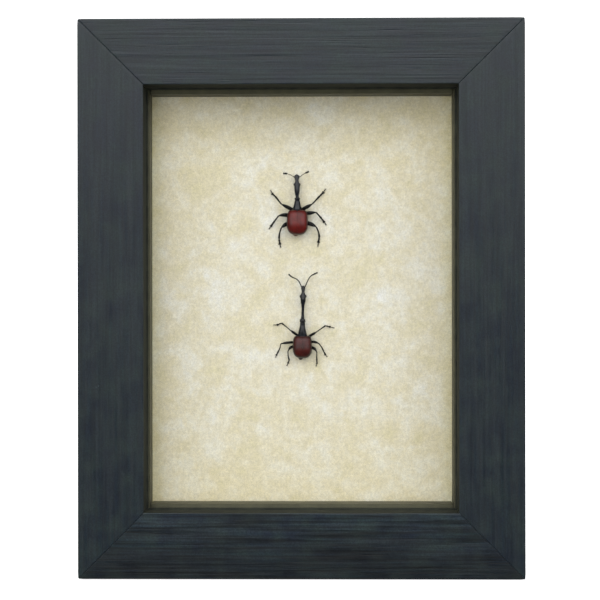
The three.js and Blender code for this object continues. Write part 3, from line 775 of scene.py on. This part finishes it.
def hairs(points, width, count, length, lean, draw, side=None):
    """Fine hairs standing off a limb, leaning towards its tip."""
    places, distance = smooth_path(points)
    made = []
    for i in range(count):
        s = distance[-1] * (0.08 + 0.88 * (i + draw.random()) / count)
        here, ahead = along_path(places, distance, np.array([s, s + 0.05]))
        along = unit(ahead - here + 1e-9)
        across = unit(np.cross(along, OFF_PAPER))
        up = np.cross(across, along)
        turn = draw.uniform(0, 2 * math.pi) if side is None else side + draw.normal(0, 0.5)
        out = math.cos(turn) * across + math.sin(turn) * up
        root = here + out * width * 0.42
        reach = length * draw.uniform(0.7, 1.2)
        tip = root + reach * (out * math.cos(lean) + along * math.sin(lean))
        made.append(spike(root, tip, HAIR_WIDTH, sides=3))
    return made


def round_rows(size, *rows):
    """Rows for a loft that is as high as wide, from rows of (share of length, share of a size)."""
    return [(share, width * size, width * size) for share, width in rows]


def between(a, b, share):
    return np.asarray(a, float) + (np.asarray(b, float) - np.asarray(a, float)) * share


def lifted(point, height):
    return np.asarray(point, float) + np.array([0, 0, height])


# Heights off the paper of each leg's root, thigh, knee, shin, ankle, lobed joint and claws
LEG_HEIGHTS = {
    "front": (1.35, 2.35, 2.9, 2.1, 1.0, 0.55, 0.35),
    "middle": (0.95, 2.15, 2.9, 2.05, 0.9, 0.5, 0.35),
    "hind": (0.95, 2.15, 2.9, 2.05, 0.9, 0.5, 0.35),
}

# Body sizes of both sexes, the same as in the CAD. Rows hold (share of length, width, height) and
# run towards the head. Legs hold the x and y of root, thigh, knee, shin, ankle, lobed joint and claws.
MALE = {
    "name": "male",
    "place": (0.2, 78.83),
    "elytra": {"width": 6.0, "length": 7.2, "back": 0, "rise": 2.35, "front": 5.5},
    "body_height": 2.45,
    "pygidium": {"x": -0.6, "reach": 8.0, "width": 1.9},
    "prothorax": {
        "path": [(0, -0.3, 2.5), (0, 2, 2.75), (0.05, 4, 2.7), (0.1, 6, 2.6)],
        "rows": [
            (0, 3.35, 2.7), (0.05, 3.42, 2.85), (0.12, 3.2, 2.75), (0.2, 2.92, 2.6), (0.31, 2.52, 2.35),
            (0.42, 2.22, 2.1), (0.52, 1.96, 1.9), (0.63, 1.74, 1.7), (0.74, 1.7, 1.65), (0.85, 1.96, 1.85),
            (0.95, 1.75, 1.65), (1, 1.3, 1.25),
        ],
        "ring": 0.77,
    },
    "neck": {
        "path": [(0.1, 5.85, 2.6), (0.15, 8.2, 2.55), (0.2, 10.75, 2.45)],
        "rows": [(0, 1.1, 1.05), (0.1, 1.15, 1.1), (0.28, 0.98, 0.95), (0.7, 0.92, 0.9), (1, 1.15, 1.05)],
    },
    "head": {
        "path": [(0.2, 10.6, 2.5), (0.25, 13.6, 2.3), (0.28, 15.3, 2.1), (0.3, 16.9, 1.9)],
        "rows": [
            (0, 1.2, 1.15), (0.14, 1.55, 1.6), (0.28, 1.78, 1.7), (0.42, 1.88, 1.5), (0.5, 1.78, 1.35),
            (0.58, 1.35, 1.15), (0.68, 0.98, 1.0), (0.8, 1.2, 1.0), (0.9, 1.45, 0.95), (0.96, 1.3, 0.8),
            (1, 0.85, 0.5),
        ],
    },
    "eye": {"along": 0.45, "radius": 0.52, "out": 0.76},
    "antennae": {
        "left": [(-0.1, 16.3, 2.4), (-1.5, 18.9, 2.9), (-3.7, 20.1, 3.0), (-4.65, 20.95, 2.9)],
        "right": [(0.75, 16.3, 2.4), (1.9, 18.8, 2.9), (2.8, 20.2, 3.0), (5.2, 21.45, 2.9)],
    },
    "bead_width": 0.46,
    "club_share": 0.3,
    "club_width": 0.6,
    "legs": {
        "front_left": [(-0.9, -0.27), (-2.7, 1.05), (-4.15, 2.13), (-5.6, 3.3),
            (-7.05, 4.42), (-8.55, 3.75), (-10, 3.85)],
        "front_right": [(1, -0.7), (3.1, 0.45), (4.98, 1.57), (6.35, 2.55),
            (7.74, 3.52), (9.4, 3.1), (10.95, 2.68)],
        "middle_left": [(-1.5, -2), (-5.2, -2.2), (-7.25, -2.5), (-7.62, -4),
            (-8.45, -5.7), (-8.88, -6.5), (-9.13, -7.4)],
        "middle_right": [(1.5, -1.8), (4, -1.95), (5.55, -2.4), (6.4, -3.6),
            (7.15, -5.1), (7.75, -6.35), (8.4, -7.1)],
        "hind_left": [(-1.5, -3.3), (-3.9, -3.75), (-4.85, -4.9), (-4.83, -6.55),
            (-4.48, -8.15), (-4.9, -9.15), (-5.38, -10.2)],
        "hind_right": [(1.5, -3.4), (3.95, -4.1), (4.85, -5.25), (4.83, -6.6),
            (4.85, -8.25), (4.88, -9.25), (4.5, -10.35)],
    },
    "femur_width": {"front": 0.82, "middle": 0.84, "hind": 0.84},
    "swelling": [(0, 0.7), (0.15, 0.76), (0.38, 0.98), (0.62, 1.08), (0.78, 0.92)],
    "tibia_width": 0.42,
    "red": "male_red",
    "tail": "male_tail",
}

FEMALE = {
    "name": "female",
    "place": (-1.45, 121.46),
    "elytra": {"width": 6.7, "length": 8.1, "back": 0.25, "rise": 2.55, "front": 5.2},
    "body_height": 2.6,
    "pygidium": {"x": -0.6, "reach": 8.9, "width": 2.3},
    "prothorax": {
        "path": [(0, -0.3, 2.6), (0, 2, 2.75), (0, 4.1, 2.6)],
        "rows": [
            (0, 3.4, 3.1), (0.06, 3.45, 3.15), (0.15, 3.15, 2.9), (0.27, 2.76, 2.5), (0.42, 2.32, 2.2),
            (0.55, 2.06, 2.0), (0.66, 1.86, 1.85), (0.76, 1.72, 1.7), (0.84, 1.8, 1.75), (0.92, 1.9, 1.8),
            (0.97, 1.72, 1.65), (1, 1.3, 1.25),
        ],
        "ring": 0.79,
    },
    "neck": {
        "path": [(0, 3.9, 2.6), (-0.05, 4.95, 2.55)],
        "rows": [(0, 1.1, 1.05), (0.5, 1.08, 1.0), (1, 1.15, 1.05)],
    },
    "head": {
        "path": [(-0.05, 4.6, 2.55), (-0.1, 8.4, 2.4), (-0.15, 10, 2.2), (-0.2, 11.85, 1.95)],
        "rows": [
            (0, 1.12, 1.1), (0.08, 1.4, 1.5), (0.17, 1.66, 1.75), (0.27, 1.82, 1.75), (0.4, 1.9, 1.6),
            (0.5, 1.86, 1.45), (0.58, 1.66, 1.3), (0.65, 1.32, 1.15), (0.72, 1.18, 1.05), (0.83, 1.58, 1.05),
            (0.9, 2.0, 1.0), (0.96, 1.5, 0.85), (1, 0.85, 0.5),
        ],
    },
    "eye": {"along": 0.535, "radius": 0.54, "out": 0.74},
    "antennae": {
        "left": [(-0.7, 10.8, 2.4), (-2.3, 11.7, 2.9), (-3.5, 12.1, 2.9), (-4.8, 12.2, 2.8)],
        "right": [(0.5, 10.8, 2.4), (2.2, 12.0, 2.9), (2.95, 12.4, 2.9), (3.95, 12.85, 2.8)],
    },
    "bead_width": 0.3,
    "club_share": 0.33,
    "club_width": 0.78,
    "legs": {
        "front_left": [(-1, -0.2), (-3.55, 0.98), (-5.35, 1.85), (-6.4, 3.2),
            (-7.35, 4.5), (-8.6, 5.6), (-9.18, 6.95)],
        "front_right": [(1, -0.2), (3.65, 1.15), (5.05, 1.9), (6.15, 3.1),
            (7.45, 4.6), (8.9, 6.05), (9.6, 7.35)],
        "middle_left": [(-1.6, -1.9), (-4.7, -1.75), (-6.3, -2.05), (-7.35, -3.35),
            (-8.2, -4.4), (-9, -5.5), (-9.8, -6.65)],
        "middle_right": [(1.6, -1.2), (4.6, -1.05), (6.3, -0.9), (7.2, -1.85),
            (8.1, -2.85), (9.05, -4.15), (9.92, -5.3)],
        "hind_left": [(-1.6, -3.9), (-4.2, -5.1), (-5.4, -6.1), (-6, -7.9),
            (-6.25, -9.6), (-5.93, -11.6), (-5.68, -12.9)],
        "hind_right": [(1.6, -3.9), (4.85, -4.95), (6.35, -5.8), (7.1, -7.5),
            (7.36, -9.2), (7.05, -11), (6.85, -12.55)],
    },
    "femur_width": {"front": 1.18, "middle": 1.2, "hind": 1.34},
    "swelling": [(0, 0.75), (0.15, 0.88), (0.38, 1.06), (0.6, 1.02), (0.78, 0.78)],
    "tibia_width": 0.56,
    "red": "female_red",
    "tail": "female_tail",
}


# How square the wing cases are: in plan behind the middle, along the crest and across the arch
PLAN_REAR = 2.6
CREST_FRONT, CREST_REAR = 4.2, 2.2
ARCH = 3.0
SHELL_THICKNESS = 0.22
SHOULDER_TAPER = 0.04
REAR_HEAVY = 0.22


class Weevil:
    """Makes one weevil's pieces from its sizes and lays them on the paper."""

    def __init__(self, sizes, whole_node=None):
        self.sizes = sizes
        self.whole_node = whole_node
        self.draw = np.random.default_rng(7 if whole_node else 3)

    def piece(self, part, parts, look, slot="black_cuticle", sharp=50):
        """A piece laid on the paper, which stands for its own node or for the one whole weevil."""
        points, faces = joined(parts)
        place_x, place_z = self.sizes["place"]
        laid = np.stack([place_x + points[:, 0], PAPER_Y - points[:, 2], place_z + points[:, 1]], -1)
        name = f"{self.sizes['name']}_{part}"
        make_piece(name, laid, faces, look, self.whole_node or name, sharp)

    def build(self):
        self.chest()
        self.head_and_neck()
        self.hind_body()
        for way, side in ((-1, "left"), (1, "right")):
            self.eye(side, way)
            self.antenna(side)
            self.elytron(side, way)
        for name in self.sizes["legs"]:
            self.leg(name)

    def chest(self):
        """The prothorax: a flared bell with a raised collar, a groove behind it and fine cross lines."""
        form = self.sizes["prothorax"]
        ring = form["ring"]

        def relief(share, angle):
            lines = 0.003 * np.sin(share * 150 + 0.6 * np.sin(3 * angle))
            collar = -0.17 * bell(share, ring, 0.025) + 0.05 * bell(share, ring - 0.07, 0.03)
            base_groove = -0.07 * bell(share, 0.1, 0.014)
            middle = -0.05 * bell(angle, math.pi / 2, 0.13) * (share < ring)
            return lines * (share < ring - 0.05) + collar + base_groove + middle

        made = loft(form["path"], form["rows"], sides=56, steps=110, ends=(0.14, 0.2), relief=relief)
        self.piece("prothorax", [made], "black")

    def head_and_neck(self):
        neck, head = self.sizes["neck"], self.sizes["head"]

        def rings(share, angle):
            return 0.01 * np.sin(share * 60) * (share < 0.2) + 0.001 * np.sin(share * 300)

        neck_form = loft(neck["path"], neck["rows"], sides=36, steps=80, ends=(0.12, 0.12), relief=rings)
        self.piece("neck", [neck_form], "black")

        def skull(share, angle):
            top = bell(angle, math.pi / 2, 0.16)
            groove = -0.05 * top * bell(share, 0.5, 0.16)
            beak = -0.04 * top * bell(share, 0.8, 0.09)
            return groove + beak + 0.002 * np.sin(share * 190 + 2 * np.sin(4 * angle))

        made = [loft(head["path"], head["rows"], sides=48, steps=120, ends=(0.15, 0.25), relief=skull)]
        made += self.jaws(head["path"][-1])
        self.piece("head", made, "black")

    def jaws(self, tip):
        """A pair of small curved jaws and short feelers under the rostrum's end."""
        x, y, z = tip
        made = []
        for way in (-1, 1):
            jaw = [
                (x + way * 0.16, y - 0.25, z - 0.05),
                (x + way * 0.17, y + 0.05, z - 0.05),
                (x + way * 0.03, y + 0.18, z - 0.08),
            ]
            rows = [(0, 0.3, 0.2), (0.6, 0.22, 0.16), (1, 0.08, 0.06)]
            made.append(loft(jaw, rows, sides=12, steps=12, ends=(0.05, 0.05)))
            palp = [(x + way * 0.2, y - 0.2, z - 0.3), (x + way * 0.25, y + 0.1, z - 0.42)]
            made.append(loft(palp, [(0, 0.1, 0.1), (1, 0.07, 0.07)], sides=8, steps=6, ends=(0.04, 0.04)))
        return made

    def eye(self, side, way):
        """A bulging eye under a close coat of tiny domed lenses."""
        form = self.sizes["eye"]
        places, distance = smooth_path(self.sizes["head"]["path"])
        here = along_path(places, distance, form["along"] * distance[-1])
        centre = here + np.array([way * form["out"], 0, 0.1])
        radii = form["radius"] * np.array([0.8, 1.05, 0.95])
        made = [ball(centre, radii * 0.985, sides=28)]
        lenses = 520
        for i in range(lenses):
            height = 1 - 2 * (i + 0.5) / lenses
            turn = i * math.pi * (3 - math.sqrt(5))
            around = math.sqrt(1 - height * height)
            out = np.array([height, around * math.cos(turn), around * math.sin(turn)])
            if out[0] * way < -0.35:
                continue
            root = centre + radii * out * 0.975
            made.append(spike(root, root + out * 0.032, 0.052, sides=6))
        self.piece(f"eye_{side}", made, "eye", "eye_black")

    def antenna(self, side):
        """Eleven joints: a long scape, seven beads and a club of three."""
        path = self.sizes["antennae"][side]
        club = 1 - self.sizes["club_share"]
        scape, beads = 0.13, 7
        stops = [0, scape, *(scape + (club - scape) * np.arange(1, beads + 1) / beads)]
        rows = round_rows(self.sizes["bead_width"], (0, 0.5), (0.35, 0.65), (0.8, 1), (1, 0.6))
        made = []
        for a, b in zip(stops[:-1], stops[1:]):
            made.append(loft(path, rows, sides=14, steps=12, ends=(0.05, 0.05), span=(a, b + 0.004)))
        width = self.sizes["club_width"]
        share = self.sizes["club_share"]
        for a, b, fat in ((0, 0.36, 0.86), (0.33, 0.66, 1.0), (0.63, 1, 0.9)):
            wide = width * fat
            rows = [(0, wide * 0.55, 0.22), (0.6, wide, width * 0.75), (1, wide * 0.5, 0.22)]
            span = (club + share * a, club + share * b)
            made.append(loft(path, rows, sides=18, steps=14, ends=(0.08, 0.12), span=span))
        made += hairs(path, 0.25, 60, 0.1, 0.7, self.draw)
        self.piece(f"antenna_{side}", made, "legs")

    def dome(self, y_share, around):
        """A place on the hind body: along it from -1 at the tail to 1, and round it from the top."""
        width, length, back, rise = (self.sizes["elytra"][k] for k in ("width", "length", "back", "rise"))
        plan = np.where(y_share > 0, self.sizes["elytra"]["front"], PLAN_REAR)
        crest = np.where(y_share > 0, CREST_FRONT, CREST_REAR)
        half = np.clip(1 - np.abs(y_share) ** plan, 0, 1) ** (1 / plan)
        top = np.clip(1 - np.abs(y_share) ** crest, 0, 1) ** (1 / crest)
        arch = np.clip(1 - np.abs(np.sin(around)) ** ARCH, 0, 1) ** (1 / ARCH)
        x = half * np.sin(around) * width / 2 * (1 - SHOULDER_TAPER * y_share)
        y = (y_share - 1) * length / 2 - back
        return x, y, self.sizes["body_height"] + top * arch * rise * (1 - REAR_HEAVY * y_share)

    def elytron(self, side, way):
        """One wing case: a curved shell with rows of pits, a sunken suture and a turned-in rim."""
        across, along = 84, 170
        end_gap = 0.03
        psi = np.linspace(end_gap, math.pi - end_gap, along)
        y_share = np.cos(psi)[:, None]
        reach = np.linspace(0, 1, across)[None, :]
        rim_start = 0.86
        over = np.clip(reach / rim_start, 0, 1)
        around = over * math.pi / 2
        x, y, z = self.dome(y_share, around)
        x, y, z = np.broadcast_arrays(x, y, z)
        down = np.clip((reach - rim_start) / (1 - rim_start), 0, 1)
        z = z - down * 0.5
        x = x * (1 - 0.03 * down) * way
        surface = np.stack([x, y + 0 * x, z], -1)
        normal = unit(np.cross(np.gradient(surface, axis=1), np.gradient(surface, axis=0)) * way + 1e-12)
        rows, pits_along = 10, 21
        row_place = (over * rows) % 1 - 0.5
        length = self.sizes["elytra"]["length"]
        pit_place = (y / length * pits_along + np.floor(over * rows) * 0.5) % 1 - 0.5
        fade = np.clip((1 - np.abs(y_share)) * 8, 0, 1) * (over < 0.99)
        pits = -0.016 * bell(row_place, 0, 0.2) * bell(pit_place, 0, 0.24) * fade
        line = -0.009 * bell(row_place, 0, 0.16) * fade
        suture = -0.07 * bell(over, 0, 0.05)
        hollow = -0.05 * bell(y_share, 0.62, 0.1) * bell(over, 0.42, 0.16)
        surface = surface + normal * (pits + line + suture + hollow)[..., None]
        surface[..., 0] += way * 0.02 * (1 - over)
        inner = surface - normal * SHELL_THICKNESS
        outer_points, inner_points = surface.reshape(-1, 3), inner.reshape(-1, 3)
        count = along * across
        faces = []
        for quad in net(along, across):
            faces += [quad, tuple(count + k for k in reversed(quad))]
        rim = list(range(across))
        rim += [i * across + across - 1 for i in range(1, along)]
        rim += [(along - 1) * across + j for j in range(across - 2, -1, -1)]
        rim += [i * across for i in range(along - 2, 0, -1)]
        for a, b in zip(rim, rim[1:] + rim[:1]):
            faces.append((a, b, b + count, a + count))
        made = (np.vstack([outer_points, inner_points]), faces)
        self.piece(f"elytron_{side}", [made], self.sizes["red"], "red_elytra", sharp=60)

    def hind_body(self):
        """The underside with its leg sockets, the small shield, and the abdomen with its tail plate."""
        width, length = (self.sizes["elytra"][k] for k in ("width", "length"))
        height = self.sizes["body_height"]
        middle = -length * 0.5
        slab = [(0, 0.1, height - 0.55), (0, middle, height - 0.6)]
        rows = [(0, width * 0.6, 2.4), (0.2, width * 0.84, 3.0), (1, width * 0.88, 3.1)]
        made = [loft(slab, rows, sides=40, steps=30, ends=(0.5, 0.1))]
        for name in self.sizes["legs"]:
            socket = lifted(self.leg_points(name)[0], -0.1) * np.array([0.8, 1, 1])
            made.append(ball(socket, (0.62, 0.5, 0.5)))
        self.piece("metathorax", made, "black")

        segments = 5

        def rings(share, angle):
            return -0.05 * bell((share * segments) % 1, 0.5, 0.08) * (angle > math.pi)

        belly = [(0, middle - 0.05, height - 0.6), (0, -length + 0.6, height - 0.7)]
        rows = [(0, width * 0.87, 3.1), (0.55, width * 0.8, 2.9), (1, width * 0.5, 2.1)]
        tail = self.sizes["pygidium"]
        centre = (tail["x"], 1.25 - tail["reach"], height - 0.75)
        made = [
            loft(belly, rows, sides=48, steps=60, ends=(0.1, 0.7), relief=rings),
            ball(centre, (tail["width"] / 2, 1.25, 1.1), sides=32),
        ]
        self.piece("abdomen", made, self.sizes["tail"], "dark_abdomen")
        shield = ball((0, -0.5, height + self.sizes["elytra"]["rise"] * 0.62), (0.3, 0.42, 0.36))
        self.piece("scutellum", [shield], "black")

    def leg_points(self, name):
        """A leg's root, thigh, knee, shin, ankle, lobed joint and claws."""
        return np.column_stack([self.sizes["legs"][name], LEG_HEIGHTS[name.split("_")[0]]])

    def leg(self, name):
        root, thigh, knee, shin, ankle, lobe, tip = self.leg_points(name)
        pair = name.split("_")[0]
        self.femur(name, [root, thigh, knee], self.sizes["femur_width"][pair])
        self.tibia(name, [knee, shin, ankle])
        self.tarsus(name, ankle, lobe, tip)

    def femur(self, name, path, thick):
        """The swollen thigh with its small ring joint at the socket."""
        rows = [(share, thick * size, thick * size * 0.95) for share, size in self.sizes["swelling"]]
        rows += [(0.9, thick * 0.52, thick * 0.52), (0.96, 0.44, 0.44), (1, 0.46, 0.46)]
        made = [loft(path, rows, sides=26, steps=46, ends=(0.12, 0.2))]
        made.append(ball(between(path[0], path[1], 0.1), [thick * 0.34] * 3, sides=16))
        made += hairs(path, thick * 0.8, 46, 0.13, 1.0, self.draw)
        self.piece(f"femur_{name}", made, "legs")

    def tibia(self, name, path):
        """The slender shin, finely toothed inside, with a hooked spur at its end."""
        thick = self.sizes["tibia_width"]
        _, shin, ankle = path
        rows = round_rows(thick, (0, 0.8), (0.08, 0.95), (0.2, 0.8))
        widening = ((0.6, 0.95, 0.9), (0.9, 1.25, 1.15), (1, 1.3, 1.1))
        rows += [(share, thick * width, thick * height) for share, width, height in widening]
        made = [loft(path, rows, sides=20, steps=40, ends=(0.14, 0.1))]
        along = unit(ankle - shin)
        across = unit(np.cross(along, OFF_PAPER))
        inward = across if np.dot(across, [-np.sign(ankle[0]), 0, 0]) > 0 else -across
        for share in np.linspace(0.1, 0.85, 7):
            here = between(shin, ankle, share) + inward * thick * 0.4
            made.append(spike(here, here + inward * 0.1 + along * 0.05, 0.08, sides=4))
        spur = ankle + inward * thick * 0.45
        made.append(spike(spur - along * 0.1, spur + along * 0.22 + inward * 0.1, 0.14, sides=6))
        made += hairs(path, thick, 54, 0.12, 0.9, self.draw)
        self.piece(f"tibia_{name}", made, "legs")

    def tarsus(self, name, ankle, lobe, tip):
        """Two cup-shaped joints, a two-lobed one, the claw joint and its pair of claws."""
        size = self.sizes["tibia_width"] / 0.32
        widths = ((0, 0.16, 0.16), (0.5, 0.3, 0.24), (0.9, 0.42, 0.3), (1, 0.36, 0.26))
        cup = [(share, width * size, height * size) for share, width, height in widths]
        first, second = between(ankle, lobe, 0.5), between(ankle, lobe, 0.78)
        way = unit((lobe - ankle) * np.array([1, 1, 0]))
        side = np.array([-way[1], way[0], 0])
        made = [
            loft([ankle, first], cup, sides=16, steps=16, ends=(0.05, 0.06)),
            loft([between(ankle, lobe, 0.46), second], cup, sides=16, steps=14, ends=(0.05, 0.06)),
        ]
        for half in (-1, 1):
            start = between(ankle, lobe, 0.74) + side * half * 0.04
            middle = between(ankle, lobe, 0.9) + side * half * 0.14 * size
            end = lobe + side * half * 0.21 * size + way * 0.1
            pad = [(0, 0.14, 0.14), (0.6, 0.26 * size, 0.2), (1, 0.22 * size, 0.16)]
            made.append(loft([start, middle, end], pad, sides=14, steps=14, ends=(0.04, 0.1)))
            made += hairs([start, middle, end], 0.2, 14, 0.09, 0.5, self.draw, side=-math.pi / 2)
        knuckle = between(lobe, tip, 0.66)
        shaft = [(0, 0.12, 0.12), (0.7, 0.18 * size, 0.17), (1, 0.2 * size, 0.18)]
        path = [between(ankle, lobe, 0.84), lifted(between(lobe, tip, 0.2), 0.06), knuckle]
        made.append(loft(path, shaft, sides=14, steps=18, ends=(0.04, 0.06)))
        ahead = unit((tip - lobe) * np.array([1, 1, 0]))
        beside = np.array([-ahead[1], ahead[0], 0])
        for half in (-1, 1):
            bend = lifted(between(lobe, tip, 0.84), 0.08) + beside * half * 0.17
            claw = [between(lobe, tip, 0.62), bend, lifted(tip + beside * half * 0.2, -0.1)]
            rows = round_rows(1, (0, 0.17), (0.4, 0.14), (1, 0.03))
            made.append(loft(claw, rows, sides=10, steps=14, ends=(0.03, 0.02)))
        self.piece(f"tarsus_{name}", made, "legs")


# Stage and light


def stage():
    """A white floor that curves up behind into a white wall."""
    half, near, far, height, bend = 3.0, -3.0, 1.2, 2.6, 0.5
    profile = [(near, 0.0), (far - bend, 0.0)]
    for i in range(1, 13):
        angle = math.pi / 2 * i / 12
        profile.append((far - bend + bend * math.sin(angle), bend - bend * math.cos(angle)))
    profile.append((far, height))
    points = [(x, y, z - FLOOR_DROP) for y, z in profile for x in (-half, half)]
    faces = net(len(profile), 2)
    mesh = bpy.data.meshes.new("backdrop")
    mesh.from_pydata(points, [], faces)
    mesh.polygons.foreach_set("use_smooth", [True] * len(faces))
    sockets = {"Specular IOR Level": 0.0, "Emission Color": (1, 1, 1, 1), "Emission Strength": 0.75}
    mesh.materials.append(Look("backdrop_white", (0.86, 0.86, 0.86, 1), 0.9, **sockets).material)
    backdrop = bpy.data.objects.new("backdrop", mesh)
    backdrop.visible_diffuse = backdrop.visible_glossy = backdrop.visible_shadow = False
    bpy.context.scene.collection.objects.link(backdrop)


def softbox(name, form, way):
    """A rectangular light aimed at the frame's middle, way -1 in front of it and 1 behind it."""
    data = bpy.data.lights.new(name, "AREA")
    data.shape = "RECTANGLE"
    data.size, data.size_y = form["size"]
    data.energy = form["radiance"] * math.pi * data.size * data.size_y
    light = bpy.data.objects.new(name, data)
    bpy.context.scene.collection.objects.link(light)
    rise = math.radians(form["height"])
    turn = math.radians(form["turn"])
    level = math.cos(rise)
    outward = Vector((math.sin(turn) * level, way * math.cos(turn) * level, math.sin(rise)))
    light.location = Vector((0, 0, MIDDLE_Z * MM)) + form["distance"] * outward
    light.rotation_euler = (-outward).to_track_quat("-Z", "Y").to_euler()
    return light


def sky():
    """A white tent of light above the horizon that fades to grey below it."""
    world = bpy.data.worlds.new("world")
    world.use_nodes = True
    nodes = Nodes(world.node_tree)
    fade = nodes.levels(nodes.axis("Z", "Generated"), *SKY_FADE, SKY_LOW, SKY_HIGH)
    edges = [-math.cos(math.radians(angle)) for angle in (CLOTH_WIDTH, CLOTH_EDGE)]
    cloth = nodes.levels(nodes.axis("Y", "Generated"), *edges, CLOTH_SHARE, 1)
    background = nodes.tree.nodes["Background"]
    background.inputs["Color"].default_value = SKY_COLOR
    nodes.link(nodes.math("MULTIPLY", fade, cloth), background.inputs["Strength"])
    bpy.context.scene.world = world


def lights():
    softbox("key_in_front", KEY, -1)
    softbox("fill_in_front", FILL, -1).visible_glossy = False
    softbox("light_behind", BACK, 1)
    sky()
    bpy.context.scene.view_settings.view_transform = "Standard"


add_camera()
frame_rails()
parchment_board()
fittings()
Weevil(MALE).build()
Weevil(FEMALE, whole_node="female_weevil").build()
stage()
lights()
